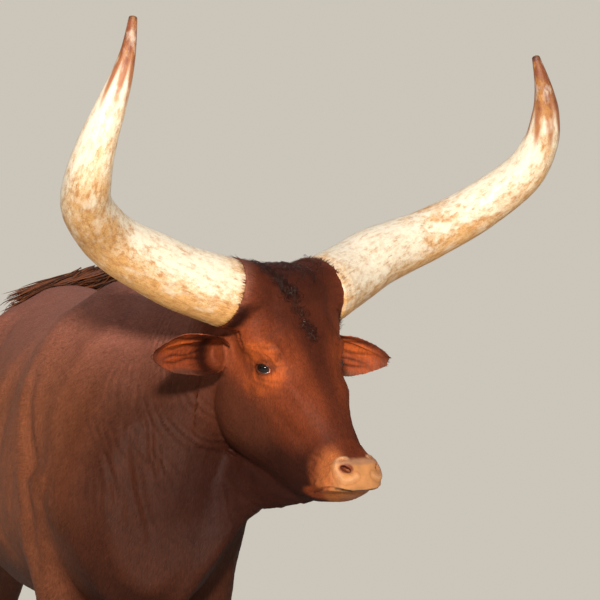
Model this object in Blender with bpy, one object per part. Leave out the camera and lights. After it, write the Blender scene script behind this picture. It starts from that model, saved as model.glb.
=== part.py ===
"""Ankole-watusi cattle, life size, standing still with the head turned to its left.

Metres, +Z up. The animal faces +X and its left side is +Y. The work frame has its
origin on the floor below the withers; the finished nodes are shifted so that the
origin is at the middle of the whole box, on the floor.
"""

import math
import random
from typing import NamedTuple

import bmesh
import bpy
import numpy as np
from mathutils import Matrix, Vector
from mathutils.bvhtree import BVHTree

# Driving dimensions of the body
WITHERS_HEIGHT = 1.385
SACRUM_HEIGHT = 1.342
BARREL_HALF_WIDTH = 0.322
SHOULDER_HALF_WIDTH = 0.225
FORELEG_X = 0.145
FORELEG_Y = 0.150
HINDLEG_X = -1.115
HINDLEG_Y = 0.155
GAP = 0.0004

# Driving dimensions of the head: all head sizes below are in head axes
HEAD_ORIGIN = Vector((0.50, 0.25, 1.38))
HEAD_TURN = math.radians(35.0)
EYE_RADIUS = 0.0185
EYE_AT = (0.0955, 0.0665, -0.155)
LID_THICKNESS = 0.0045
HORN_RINGS = 23
EAR_HALF_WIDTH = 0.045
EAR_SEAM = 0.122
TAIL_SEAMS = (0, 11, 22, 33)

# Hooves
HOOF_WIDTH = 0.052
HOOF_HEIGHT = 0.074
SOLE_GAP = 0.006

# Mesh sizes
BODY_VOXEL = 0.012
HEAD_VOXEL = 0.0045
BODY_TRIANGLES = 6200
HEAD_TRIANGLES = 4300

COLOURS = {
    "hide": (0.115, 0.030, 0.018),
    "horn": (0.78, 0.66, 0.46),
    "eye": (0.012, 0.008, 0.006),
    "hoof": (0.045, 0.030, 0.022),
    "hair": (0.060, 0.018, 0.010),
}
ROUGHNESS = {"hide": 0.55, "horn": 0.50, "eye": 0.08, "hoof": 0.45, "hair": 0.60}

HEAD_FORWARD = Vector((math.cos(HEAD_TURN), math.sin(HEAD_TURN), 0.0))
HEAD_LEFT = Vector((-math.sin(HEAD_TURN), math.cos(HEAD_TURN), 0.0))
UP = Vector((0.0, 0.0, 1.0))
LEFT = Vector((0.0, 1.0, 0.0))


class Section(NamedTuple):
    """One closed ring of a loft, from its upper point to its lower point."""

    top: Vector
    bottom: Vector
    side: Vector
    half: float
    wide: float = 0.5
    round_top: float = 2.0
    round_bottom: float = 2.0
    taper: float = 0.0


def clear_scene():
    """Remove whatever the file opened with."""
    for item in list(bpy.data.objects):
        bpy.data.objects.remove(item, do_unlink=True)


def material(name):
    """The material of one finish, made once."""
    found = bpy.data.materials.get(name)
    if found:
        return found
    made = bpy.data.materials.new(name)
    made.use_nodes = True
    made.diffuse_color = (*COLOURS[name], 1.0)
    shader = made.node_tree.nodes["Principled BSDF"]
    shader.inputs["Base Color"].default_value = (*COLOURS[name], 1.0)
    shader.inputs["Roughness"].default_value = ROUGHNESS[name]
    shader.inputs["Metallic"].default_value = 0.0
    return made


def make_object(name, mesh):
    """Link a mesh to the scene as an object."""
    item = bpy.data.objects.new(name, mesh)
    bpy.context.scene.collection.objects.link(item)
    return item


def from_bmesh(name, shape):
    """Turn a bmesh into a linked object with its faces pointing out."""
    bmesh.ops.recalc_face_normals(shape, faces=shape.faces)
    mesh = bpy.data.meshes.new(name)
    shape.to_mesh(mesh)
    shape.free()
    return make_object(name, mesh)


def drop(item):
    """Remove a helper object."""
    bpy.data.objects.remove(item, do_unlink=True)


def apply_modifiers(item):
    """Replace an object's mesh by its evaluated mesh."""
    view = bpy.context.evaluated_depsgraph_get()
    view.update()
    mesh = bpy.data.meshes.new_from_object(item.evaluated_get(view))
    item.modifiers.clear()
    item.data = mesh
    return item


def ring_points(section, sides):
    """Points round one section, a superellipse that may be wider above or below."""
    points = []
    span = section.bottom - section.top
    for step in range(sides):
        angle = 2.0 * math.pi * step / sides
        across, along = math.sin(angle), math.cos(angle)
        power = 2.0 / (section.round_top if along >= 0.0 else section.round_bottom)
        height = abs(along) ** power
        reach = abs(across) ** power
        if along >= 0.0:
            share = section.wide * (1.0 - height)
        else:
            share = section.wide + (1.0 - section.wide) * height
            reach *= 1.0 - section.taper * height
        offset = math.copysign(section.half * reach, across) if reach > 1e-9 else 0.0
        points.append(section.top + span * share + section.side * offset)
    return points


def add_loft(shape, sections, sides=20):
    """Add a closed loft through the sections to a bmesh."""
    rings = []
    for section in sections:
        rings.append([shape.verts.new(point) for point in ring_points(section, sides)])
    for first, second in zip(rings, rings[1:]):
        for step in range(sides):
            after = (step + 1) % sides
            shape.faces.new((first[step], first[after], second[after], second[step]))
    for ring in (rings[0], rings[-1]):
        middle = sum((vertex.co for vertex in ring), Vector()) / sides
        centre = shape.verts.new(middle)
        for step in range(sides):
            shape.faces.new((ring[step], ring[(step + 1) % sides], centre))


def loft(name, sections, sides=20):
    """A closed loft as an object of its own."""
    shape = bmesh.new()
    add_loft(shape, sections, sides)
    return from_bmesh(name, shape)


def ellipsoid(name, centre, radii, turn=None, detail=3):
    """An ellipsoid with its radii along X, Y and Z, turned if wanted."""
    shape = bmesh.new()
    matrix = Matrix.Translation(centre)
    if turn is not None:
        matrix = matrix @ turn.to_4x4()
    matrix = matrix @ Matrix.Diagonal((*radii, 1.0))
    bmesh.ops.create_icosphere(shape, subdivisions=detail, radius=1.0, matrix=matrix)
    return from_bmesh(name, shape)


def tube_sections(points, radii, flat=1.0, across=None):
    """Round or flattened sections along points, carried on without a twist."""
    path = [Vector(point) for point in points]
    sections = []
    for index, point in enumerate(path):
        before = path[max(index - 1, 0)]
        after = path[min(index + 1, len(path) - 1)]
        along = (after - before).normalized()
        if across is None:
            across = along.cross(UP)
            if across.length < 0.1:
                across = along.cross(LEFT)
        across = (across - along * across.dot(along)).normalized()
        third = along.cross(across).normalized()
        radius = radii[index]
        sections.append(Section(point + third * radius * flat, point - third * radius * flat, across, radius))
    return sections


def moved(section, shift):
    """A section carried by a small shift."""
    return section._replace(top=section.top + shift, bottom=section.bottom + shift)


def tube(name, points, radii, sides=12, flat=1.0):
    """A tube along points, closed at both ends."""
    return loft(name, tube_sections(points, radii, flat), sides)


def smooth_path(points, count):
    """Points evenly spaced in parameter on a Catmull-Rom curve through the given ones."""
    knots = [Vector(point) for point in points]
    knots = [knots[0] * 2 - knots[1]] + knots + [knots[-1] * 2 - knots[-2]]
    spans = len(knots) - 3
    out = []
    for step in range(count):
        place = spans * step / (count - 1)
        index = min(int(place), spans - 1)
        t = place - index
        a, b, c, d = knots[index:index + 4]
        out.append(0.5 * ((2 * b) + (c - a) * t + (2 * a - 5 * b + 4 * c - d) * t * t
                          + (3 * b - a - 3 * c + d) * t * t * t))
    return out


def smooth_values(values, count):
    """Numbers read from a smooth curve through the given ones."""
    line = smooth_path([(value, 0.0, 0.0) for value in values], count)
    return [point.x for point in line]


def join(name, pieces):
    """Join objects into one, each still a closed shell."""
    shape = bmesh.new()
    for piece in pieces:
        shape.from_mesh(piece.data)
    for piece in pieces:
        drop(piece)
    mesh = bpy.data.meshes.new(name)
    shape.to_mesh(mesh)
    shape.free()
    return make_object(name, mesh)


def fuse(item, voxel, rounds):
    """Fuse overlapping shells into one skin and soften the joins."""
    remesh = item.modifiers.new("Fuse", "REMESH")
    remesh.mode = "VOXEL"
    remesh.voxel_size = voxel
    remesh.adaptivity = 0.0
    soften = item.modifiers.new("Soften", "SMOOTH")
    soften.factor = 0.5
    soften.iterations = rounds
    return apply_modifiers(item)


def thin_out(item, triangles):
    """Reduce a mesh to about the given number of triangles."""
    have = sum(len(face.vertices) - 2 for face in item.data.polygons)
    reduce = item.modifiers.new("Reduce", "DECIMATE")
    reduce.decimate_type = "COLLAPSE"
    reduce.use_collapse_triangulate = True
    reduce.ratio = min(1.0, triangles / have)
    return apply_modifiers(item)


def keep_largest(item):
    """Keep only the largest connected surface of a mesh."""
    shape = bmesh.new()
    shape.from_mesh(item.data)
    shape.verts.ensure_lookup_table()
    seen = set()
    groups = []
    for start in shape.verts:
        if start.index in seen:
            continue
        seen.add(start.index)
        queue = [start]
        group = []
        while queue:
            vertex = queue.pop()
            group.append(vertex)
            for edge in vertex.link_edges:
                other = edge.other_vert(vertex)
                if other.index not in seen:
                    seen.add(other.index)
                    queue.append(other)
        groups.append(group)
    groups.sort(key=len, reverse=True)
    scraps = [vertex for group in groups[1:] for vertex in group]
    bmesh.ops.delete(shape, geom=scraps, context="VERTS")
    bmesh.ops.delete(shape, geom=[edge for edge in shape.edges if edge.is_wire], context="EDGES")
    shape.to_mesh(item.data)
    shape.free()
    return item


def combine(item, tools, operation, solver="MANIFOLD"):
    """Apply one Boolean of a list of closed tools to an object and remove the tools.

    The exact solver leaves open edges round the eye sockets and nostrils, so the
    manifold one does the cutting; every mesh here is closed, as it needs.
    """
    group = bpy.data.collections.new("Tools")
    for tool in tools:
        tool.hide_render = True
        tool.display_type = "WIRE"
        group.objects.link(tool)
    change = item.modifiers.new("Combine", "BOOLEAN")
    change.operand_type = "COLLECTION"
    change.collection = group
    change.operation = operation
    change.solver = solver
    apply_modifiers(item)
    for tool in list(group.objects):
        drop(tool)
    bpy.data.collections.remove(group)
    return keep_largest(item)


def copy_of(item, name):
    """A copy of an object with its own mesh."""
    return make_object(name, item.data.copy())


def slab(point, normal, size=4.0):
    """A large block whose flat face passes through a point, lying beyond it."""
    shape = bmesh.new()
    bmesh.ops.create_cube(shape, size=size)
    turn = Vector(normal).normalized().to_track_quat("Z", "Y").to_matrix().to_4x4()
    shift = Matrix.Translation(Vector(point) + Vector(normal).normalized() * size / 2)
    bmesh.ops.transform(shape, matrix=shift @ turn, verts=shape.verts)
    return from_bmesh("Slab", shape)


def block(low, high):
    """A plain box between two corners."""
    shape = bmesh.new()
    low, high = Vector(low), Vector(high)
    matrix = Matrix.Translation((low + high) / 2) @ Matrix.Diagonal((*(high - low), 1.0))
    bmesh.ops.create_cube(shape, size=1.0, matrix=matrix)
    return from_bmesh("Block", shape)


def head_point(left, forward, up):
    """A point given in head axes."""
    return HEAD_ORIGIN + HEAD_LEFT * left + HEAD_FORWARD * forward + UP * up


def head_direction(left, forward, up):
    """A direction given in head axes."""
    return (HEAD_LEFT * left + HEAD_FORWARD * forward + UP * up).normalized()


def head_turn():
    """Turns X, Y, Z into the head's forward, left and up."""
    return Matrix((HEAD_FORWARD, HEAD_LEFT, UP)).transposed()


def torso_sections():
    """Trunk from the tail head to the chest front: place, top, bottom, half width, shape."""
    rows = (
        (-1.235, SACRUM_HEIGHT - 0.072, 1.090, 0.070, 0.45, 2.0, 2.0),
        (-1.205, SACRUM_HEIGHT - 0.040, 0.970, 0.145, 0.45, 2.1, 2.2),
        (-1.120, SACRUM_HEIGHT - 0.015, 0.860, 0.200, 0.45, 2.1, 2.2),
        (-1.000, SACRUM_HEIGHT, 0.770, 0.236, 0.45, 2.1, 2.1),
        (-0.860, SACRUM_HEIGHT - 0.006, 0.715, 0.262, 0.45, 2.1, 2.1),
        (-0.700, SACRUM_HEIGHT - 0.016, 0.685, 0.288, 0.50, 2.0, 2.2),
        (-0.500, SACRUM_HEIGHT - 0.020, 0.655, 0.316, 0.54, 1.95, 2.2),
        (-0.300, WITHERS_HEIGHT - 0.058, 0.635, BARREL_HALF_WIDTH, 0.55, 1.9, 2.2),
        (-0.120, WITHERS_HEIGHT - 0.028, 0.640, 0.296, 0.54, 1.8, 2.2),
        (0.000, WITHERS_HEIGHT - 0.004, 0.650, 0.256, 0.54, 1.65, 2.2),
        (0.120, WITHERS_HEIGHT - 0.016, 0.660, SHOULDER_HALF_WIDTH, 0.52, 1.65, 2.2),
        (0.250, WITHERS_HEIGHT - 0.060, 0.672, 0.205, 0.50, 1.85, 2.2),
        (0.360, WITHERS_HEIGHT - 0.160, 0.690, 0.165, 0.50, 2.0, 2.2),
        (0.430, WITHERS_HEIGHT - 0.280, 0.740, 0.095, 0.50, 2.0, 2.0),
    )
    return [Section(Vector((x, 0.0, top)), Vector((x, 0.0, low)), LEFT, half, wide, up, down)
            for x, top, low, half, wide, up, down in rows]


def turned(angle):
    """The sideways direction of a section that heads the given degrees to the left."""
    rad = math.radians(angle)
    return Vector((-math.sin(rad), math.cos(rad), 0.0))


def neck_sections():
    """Neck from inside the shoulders to inside the head, bending to the left."""
    rows = (
        ((-0.05, 0.0, 1.365), (0.20, 0.0, 0.72), 0.0, 0.200, 0.55, 1.8),
        ((0.06, 0.012, 1.366), (0.34, 0.02, 0.76), 8.0, 0.190, 0.55, 1.8),
        ((0.16, 0.045, 1.360), (0.41, 0.06, 0.83), 16.0, 0.168, 0.52, 1.8),
        ((0.26, 0.098, 1.360), (0.425, 0.115, 0.92), 24.0, 0.143, 0.50, 1.9),
        ((0.35, 0.158, 1.370), (0.42, 0.160, 1.01), 30.0, 0.122, 0.48, 2.0),
        ((0.42, 0.202, 1.388), (0.42, 0.190, 1.09), 34.0, 0.108, 0.46, 2.0),
        ((0.48, 0.236, 1.402), (0.46, 0.220, 1.15), 35.0, 0.092, 0.46, 2.0),
    )
    return [Section(Vector(top), Vector(low), turned(angle), half, wide, up, 2.0)
            for top, low, angle, half, wide, up in rows]


def dewlap_sections():
    """Thin fold of skin from under the jaw down to the brisket."""
    rows = (
        ((0.575, 0.300, 0.985), (0.590, 0.312, 0.945), 35.0, 0.022),
        ((0.520, 0.262, 1.010), (0.540, 0.276, 0.925), 35.0, 0.028),
        ((0.440, 0.205, 1.060), (0.470, 0.228, 0.912), 34.0, 0.036),
        ((0.380, 0.160, 1.020), (0.432, 0.188, 0.885), 28.0, 0.042),
        ((0.330, 0.105, 0.960), (0.438, 0.130, 0.805), 20.0, 0.050),
        ((0.280, 0.055, 0.900), (0.418, 0.068, 0.722), 12.0, 0.060),
        ((0.220, 0.020, 0.860), (0.355, 0.020, 0.652), 4.0, 0.070),
        ((0.120, 0.000, 0.820), (0.235, 0.000, 0.622), 0.0, 0.062),
        ((0.020, 0.000, 0.780), (0.100, 0.000, 0.636), 0.0, 0.045),
    )
    return [Section(Vector(top), Vector(low), turned(angle), half, 0.4, 2.0, 1.8)
            for top, low, angle, half in rows]


def foreleg_sections(side, shift):
    """Foreleg from the arm down to the coronet: height, front, back, half width, drift."""
    rows = (
        (0.980, 0.170, -0.110, 0.060, 0.035),
        (0.880, 0.125, -0.120, 0.064, 0.022),
        (0.790, 0.080, -0.115, 0.062, 0.012),
        (0.700, 0.062, -0.085, 0.055, 0.006),
        (0.600, 0.050, -0.055, 0.046, 0.002),
        (0.510, 0.044, -0.040, 0.041, 0.000),
        (0.455, 0.050, -0.044, 0.046, 0.000),
        (0.410, 0.052, -0.048, 0.049, 0.000),
        (0.365, 0.039, -0.042, 0.041, 0.000),
        (0.300, 0.031, -0.034, 0.033, 0.000),
        (0.210, 0.029, -0.034, 0.032, 0.001),
        (0.160, 0.036, -0.048, 0.041, 0.002),
        (0.125, 0.042, -0.050, 0.045, 0.003),
        (0.095, 0.058, -0.032, 0.048, 0.004),
        (0.060, 0.072, -0.030, 0.055, 0.004),
    )
    x = FORELEG_X + shift
    return [Section(Vector((x + front, side * (FORELEG_Y + drift), z)),
                    Vector((x + back, side * (FORELEG_Y + drift), z)), LEFT, half, 0.5, 2.2, 2.2)
            for z, front, back, half, drift in rows]


def hindleg_sections(side, shift):
    """Hind leg from the thigh down to the coronet: height, front, back, half width, inset."""
    rows = (
        (1.080, 0.350, -0.095, 0.085, 0.000),
        (0.960, 0.385, -0.085, 0.105, 0.000),
        (0.850, 0.390, -0.055, 0.100, 0.004),
        (0.760, 0.335, -0.035, 0.082, 0.006),
        (0.670, 0.235, -0.050, 0.062, 0.006),
        (0.595, 0.130, -0.090, 0.048, 0.004),
        (0.540, 0.050, -0.125, 0.042, 0.002),
        (0.490, 0.016, -0.130, 0.045, 0.000),
        (0.440, 0.004, -0.108, 0.045, 0.000),
        (0.380, -0.004, -0.084, 0.036, 0.000),
        (0.280, -0.002, -0.073, 0.032, 0.000),
        (0.200, 0.010, -0.063, 0.034, 0.000),
        (0.160, 0.026, -0.062, 0.042, 0.000),
        (0.125, 0.036, -0.056, 0.045, 0.000),
        (0.095, 0.056, -0.036, 0.047, 0.000),
        (0.060, 0.072, -0.030, 0.054, 0.000),
    )
    out = []
    for z, front, back, half, inset in rows:
        share = min(1.0, max(0.0, (0.95 - z) / 0.45))
        x = HINDLEG_X + shift * share
        y = side * (HINDLEG_Y - inset)
        out.append(Section(Vector((x + front, y, z)), Vector((x + back, y, z)), LEFT, half, 0.5, 2.2, 2.0))
    return out


LEG_SHIFTS = {"front_left": 0.020, "front_right": -0.015, "hind_left": 0.075, "hind_right": -0.045}


def side_of(place):
    """Plus one for the left of the animal, minus one for its right."""
    return 1.0 if place.endswith("left") else -1.0


def leg_sections(place):
    """The sections of the named leg."""
    build = foreleg_sections if place.startswith("front") else hindleg_sections
    return build(side_of(place), LEG_SHIFTS[place])


def swell(item, rows, to_local=None):
    """Push the skin out, or in, round places given as centre, radii and height."""
    mesh = item.data
    count = len(mesh.vertices)
    places = np.empty(count * 3)
    normals = np.empty(count * 3)
    mesh.vertices.foreach_get("co", places)
    mesh.vertices.foreach_get("normal", normals)
    places, normals = places.reshape(-1, 3), normals.reshape(-1, 3)
    local = places if to_local is None else (places - np.array(HEAD_ORIGIN)) @ to_local
    push = np.zeros(count)
    for centre, radii, height in rows:
        for side in ((1.0, -1.0) if centre[1] else (1.0,)):
            middle = np.array((centre[0], centre[1] * side, centre[2]))
            share = (((local - middle) / np.array(radii)) ** 2).sum(axis=1)
            push += height * np.exp(-share)
    places += normals * push[:, None]
    mesh.vertices.foreach_set("co", places.ravel())
    mesh.update()
    return item


def body_swells():
    """Muscles, bones and hollows of the trunk: centre, radii and height, on both sides."""
    return (
        ((0.070, 0.190, 1.120), (0.120, 0.120, 0.210), 0.024),
        ((0.020, 0.150, 1.290), (0.070, 0.070, 0.100), 0.012),
        ((-0.110, 0.270, 1.080), (0.060, 0.120, 0.200), -0.022),
        ((0.320, 0.150, 0.930), (0.080, 0.100, 0.090), 0.034),
        ((0.040, 0.200, 0.880), (0.110, 0.090, 0.100), 0.026),
        ((0.200, 0.180, 1.020), (0.060, 0.120, 0.060), -0.010),
        ((-0.815, 0.225, 1.270), (0.060, 0.055, 0.045), 0.034),
        ((-0.670, 0.270, 1.190), (0.090, 0.080, 0.070), -0.034),
        ((-1.200, 0.095, 1.240), (0.045, 0.045, 0.050), 0.024),
        ((-1.000, 0.110, 1.310), (0.110, 0.050, 0.050), -0.010),
        ((-0.985, 0.220, 1.030), (0.130, 0.110, 0.160), 0.026),
        ((-1.130, 0.140, 0.900), (0.060, 0.110, 0.130), 0.018),
        ((-0.790, 0.210, 0.830), (0.070, 0.090, 0.080), 0.022),
        ((-0.660, 0.230, 0.780), (0.080, 0.100, 0.080), -0.016),
        ((0.010, 0.000, 1.370), (0.170, 0.060, 0.060), 0.012),
        ((-0.440, 0.000, 0.630), (0.120, 0.045, 0.050), 0.022),
    )


def body_skin():
    """Trunk, neck and legs fused into one skin."""
    pieces = [loft("Torso", torso_sections(), 28), loft("Neck", neck_sections(), 24)]
    pieces.append(loft("Dewlap", dewlap_sections(), 16))
    for place in LEG_SHIFTS:
        pieces.append(loft("Leg", leg_sections(place), 16))
    pieces.append(loft("Skull", head_sections(), 24))
    for side in (1.0, -1.0):
        pieces.append(ellipsoid("Thigh", (-1.01, side * 0.140, 1.06), (0.185, 0.105, 0.200)))
    pieces.append(ellipsoid("Tail head", (-1.190, 0.0, 1.262), (0.090, 0.055, 0.045)))
    item = fuse(join("Body", pieces), BODY_VOXEL, 12)
    return swell(item, body_swells())


def head_sections():
    """Head from the back of the poll to the lips, in head axes: upper and lower point."""
    rows = (
        ((-0.085, 0.018), (-0.115, -0.060), 0.060, 0.45, 2.0, 2.0, 0.0),
        ((-0.062, 0.050), (-0.110, -0.120), 0.092, 0.42, 2.6, 2.0, 0.1),
        ((-0.006, 0.062), (-0.112, -0.170), 0.108, 0.38, 3.0, 2.0, 0.2),
        ((0.042, 0.034), (-0.124, -0.220), 0.113, 0.34, 3.0, 2.2, 0.2),
        ((0.080, -0.020), (-0.137, -0.262), 0.115, 0.32, 3.0, 2.4, 0.2),
        ((0.106, -0.078), (-0.138, -0.296), 0.114, 0.30, 2.9, 2.4, 0.2),
        ((0.125, -0.130), (-0.114, -0.330), 0.110, 0.32, 2.7, 2.4, 0.2),
        ((0.145, -0.175), (-0.068, -0.356), 0.097, 0.36, 2.5, 2.4, 0.2),
        ((0.171, -0.219), (-0.010, -0.382), 0.083, 0.40, 2.4, 2.3, 0.2),
        ((0.193, -0.261), (0.036, -0.408), 0.071, 0.42, 2.4, 2.2, 0.2),
        ((0.213, -0.297), (0.085, -0.430), 0.063, 0.42, 2.5, 2.2, 0.15),
        ((0.234, -0.328), (0.132, -0.434), 0.064, 0.44, 2.7, 2.2, 0.15),
        ((0.253, -0.352), (0.172, -0.431), 0.069, 0.46, 2.6, 2.2, 0.15),
        ((0.261, -0.376), (0.202, -0.427), 0.065, 0.48, 2.5, 2.4, 0.1),
        ((0.262, -0.393), (0.226, -0.420), 0.052, 0.50, 2.3, 2.4, 0.0),
        ((0.255, -0.404), (0.241, -0.413), 0.029, 0.50, 2.0, 2.0, 0.0),
    )
    return [Section(head_point(0.0, *top), head_point(0.0, *low), HEAD_LEFT, half, wide, up, down, taper)
            for top, low, half, wide, up, down, taper in rows]


def head_swells():
    """Forms of the head as centre forward, left, up, then radii and height, on both sides."""
    return (
        ((0.078, 0.098, -0.117), (0.036, 0.030, 0.022), 0.012),
        ((0.030, 0.105, -0.165), (0.030, 0.040, 0.030), -0.006),
        ((0.125, 0.070, -0.205), (0.050, 0.030, 0.022), 0.006),
        ((-0.058, 0.088, -0.245), (0.075, 0.050, 0.080), 0.018),
        ((0.085, 0.075, -0.285), (0.060, 0.040, 0.030), -0.007),
        ((0.150, 0.060, -0.310), (0.040, 0.030, 0.035), -0.006),
        ((0.236, 0.048, -0.352), (0.024, 0.024, 0.026), 0.007),
        ((0.195, 0.062, -0.388), (0.032, 0.030, 0.018), 0.007),
        ((0.235, 0.040, -0.412), (0.040, 0.060, 0.008), -0.005),
        ((0.020, 0.060, -0.070), (0.050, 0.025, 0.060), 0.004),
        ((0.050, 0.000, -0.060), (0.060, 0.040, 0.070), -0.004),
        ((0.215, 0.062, -0.424), (0.050, 0.022, 0.018), -0.009),
        ((0.205, 0.000, -0.430), (0.030, 0.034, 0.016), 0.003),
    )


def head_skin():
    """Head with a neck stump, fused finely."""
    pieces = [loft("Skull", head_sections(), 32), loft("Neck", neck_sections(), 28)]
    pieces.append(loft("Dewlap", dewlap_sections()[:6], 16))
    for side in (1.0, -1.0):
        pieces.append(ellipsoid("Ear root", head_point(side * 0.098, -0.050, -0.128),
                                (0.037, 0.040, 0.042), head_turn()))
        base, along = horn_base(side)
        root = head_point(side * 0.060, 0.004, -0.010)
        pieces.append(tube("Stub", (root, base, base + along * 0.04), (0.070, 0.0780, 0.0785), 20))
        pieces.append(ellipsoid("Temple", head_point(side * 0.086, 0.036, -0.074),
                                (0.046, 0.052, 0.066), head_turn()))
    pieces.append(ellipsoid("Poll", head_point(0.0, 0.004, -0.008), (0.086, 0.140, 0.068), head_turn()))
    item = fuse(join("Head", pieces), HEAD_VOXEL, 10)
    return swell(item, head_swells(), np.array(head_turn()))


def horn_points(side):
    """Centre line of a horn, from its base out, back, up and in to the tip."""
    rows = (
        (0.145, 0.000, 0.000, 0.000),
        (0.240, -0.024, 0.029, 0.001),
        (0.325, -0.032, 0.062, 0.002),
        (0.405, -0.030, 0.091, 0.006),
        (0.480, -0.012, 0.123, 0.012),
        (0.575, 0.048, 0.179, 0.009),
        (0.632, 0.117, 0.243, 0.005),
        (0.646, 0.160, 0.311, 0.004),
        (0.634, 0.185, 0.376, 0.009),
        (0.617, 0.197, 0.426, 0.016),
        (0.602, 0.200, 0.471, 0.021),
        (0.588, 0.198, 0.522, 0.032),
    )
    return [head_point(side * left, forward, up - side * tilt) for left, forward, up, tilt in rows]


def horn_line(side):
    """The horn's centre line, finely spaced."""
    return smooth_path(horn_points(side), HORN_RINGS)


def horn_base(side):
    """Middle of the horn's flat base, and the direction in which the horn leaves it."""
    first, second = horn_line(side)[:2]
    return first, (second - first).normalized()


def horn(side, name):
    """A horn: a long tapering tube with a blunt tip."""
    radii = smooth_values((0.073, 0.069, 0.0655, 0.0605, 0.056, 0.0515, 0.046, 0.038, 0.030, 0.022,
                           0.015, 0.0085), HORN_RINGS)
    return tube(name, horn_line(side), radii, 12)


def ear_grid(side):
    """Points of the ear's cupped blade, from its root to its tip and from rim to rim."""
    root = head_point(side * (EAR_SEAM - 0.012), -0.046, -0.128)
    tip = head_point(side * 0.346, -0.0065, -0.1395 - side * 0.021)
    along = (tip - root).normalized()
    facing = head_direction(side * 0.10, 0.93, -0.28)
    facing = (facing - along * facing.dot(along)).normalized()
    across = along.cross(facing).normalized()
    rows = smooth_values((0.026, 0.037, 0.044, EAR_HALF_WIDTH, 0.045, 0.043, 0.037, 0.014), 11)
    opening = smooth_values((150.0, 118.0, 92.0, 72.0, 58.0, 46.0, 36.0, 28.0), 11)
    length = (tip - root).length
    grid = []
    for index, (half, angle) in enumerate(zip(rows, opening)):
        share = index / (len(rows) - 1)
        spread = math.radians(angle)
        radius = half / math.sin(min(spread, math.pi / 2))
        line = []
        for step in range(8):
            turn = spread * (step / 3.5 - 1.0)
            lift = radius * (1.0 - math.cos(turn)) - 0.026 * (1.0 - share)
            droop = -0.010 * math.sin(math.pi * share)
            line.append(root + along * length * share + across * radius * math.sin(turn)
                        + facing * (lift + droop))
        grid.append(line)
    return grid


def ear(side, name):
    """An ear as a cupped leaf with real thickness, cut flat at its root."""
    shape = bmesh.new()
    rows = [[shape.verts.new(point) for point in line] for line in ear_grid(side)]
    for first, second in zip(rows, rows[1:]):
        for step in range(len(first) - 1):
            corners = (first[step], first[step + 1], second[step + 1], second[step])
            shape.faces.new(corners[:3])
            shape.faces.new((corners[0], corners[2], corners[3]))
    item = from_bmesh(name, shape)
    thick = item.modifiers.new("Thickness", "SOLIDIFY")
    thick.thickness = 0.0055
    thick.offset = 0.0
    thick.use_even_offset = True
    apply_modifiers(item)
    return combine(item, [head_block(side, -0.1, EAR_SEAM + GAP / 2, (-0.3, 0.3), (-0.4, 0.1))], "DIFFERENCE")


def head_block(side, near, far, forward, up):
    """A box in head axes between two sideways, forward and up limits."""
    shape = bmesh.new()
    size = Vector((forward[1] - forward[0], far - near, up[1] - up[0]))
    centre = head_point(side * (near + far) / 2, sum(forward) / 2, sum(up) / 2)
    matrix = Matrix.Translation(centre) @ head_turn().to_4x4() @ Matrix.Diagonal((*size, 1.0))
    bmesh.ops.create_cube(shape, size=1.0, matrix=matrix)
    return from_bmesh("Head block", shape)


def eye_centre(side):
    """The middle of an eyeball."""
    left, forward, up = EYE_AT
    return head_point(side * left, forward, up)


def eye_axes(side):
    """Columns along the slit of the eye, out of the head, and up."""
    out = head_direction(side * 0.88, 0.46, -0.02)
    slit = head_direction(-side * 0.40, 0.86, -0.30)
    slit = (slit - out * slit.dot(out)).normalized()
    return Matrix((slit, out, slit.cross(out))).transposed()


def eye(side, name):
    """An eyeball."""
    return ellipsoid(name, eye_centre(side), (EYE_RADIUS,) * 3, None, 2)


def cut_eye(item, side):
    """Give the head lids round an almond opening, and a socket behind it."""
    centre, axes = eye_centre(side), eye_axes(side)
    ball = EYE_RADIUS + LID_THICKNESS
    combine(item, [ellipsoid("Lids", centre, (ball, ball, ball), axes, 2)], "UNION")
    outward = axes @ Vector((0.0, 1.0, 0.0))
    almond = ellipsoid("Opening", centre + outward * 0.021, (0.0165, 0.016, 0.0088), axes, 2)
    socket = ellipsoid("Socket", centre, (EYE_RADIUS + GAP,) * 3, None, 2)
    return combine(item, [almond, socket], "DIFFERENCE")


def cut_mouth(item):
    """Cut the line of the mouth round the muzzle, following the surface."""
    tree = BVHTree.FromObject(item, bpy.context.evaluated_depsgraph_get())
    guesses = ((-0.075, 0.160, -0.418), (-0.072, 0.185, -0.410), (-0.068, 0.212, -0.405),
               (-0.052, 0.245, -0.404), (-0.025, 0.270, -0.404), (0.0, 0.275, -0.403))
    guesses += tuple((-left, forward, up) for left, forward, up in reversed(guesses[:-1]))
    points = [tree.find_nearest(head_point(*guess))[0] for guess in smooth_rows(guesses, 21)]
    radii = [0.004 + 0.006 * math.sin(math.pi * step / 20.0) ** 0.4 for step in range(21)]
    return combine(item, [tube("Mouth", points, radii, 8, 0.16)], "DIFFERENCE")


def smooth_rows(rows, count):
    """Evenly numbered rows on a smooth curve through rows of three numbers."""
    return [tuple(point) for point in smooth_path(rows, count)]


def cut_nostril(item, side):
    """Open a nostril as a slanting comma in the side of the muzzle."""
    outer = head_point(side * 0.053, 0.234, -0.348)
    inner = head_point(side * 0.036, 0.260, -0.364)
    slant = (inner - outer).normalized()
    deep = head_direction(-side * 0.50, -0.84, 0.10)
    deep = (deep - slant * deep.dot(slant)).normalized()
    axes = Matrix((slant, deep, slant.cross(deep))).transposed()
    hole = ellipsoid("Nostril", (outer + inner) / 2, (0.0135, 0.022, 0.0065), axes, 2)
    return combine(item, [hole], "DIFFERENCE")


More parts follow.
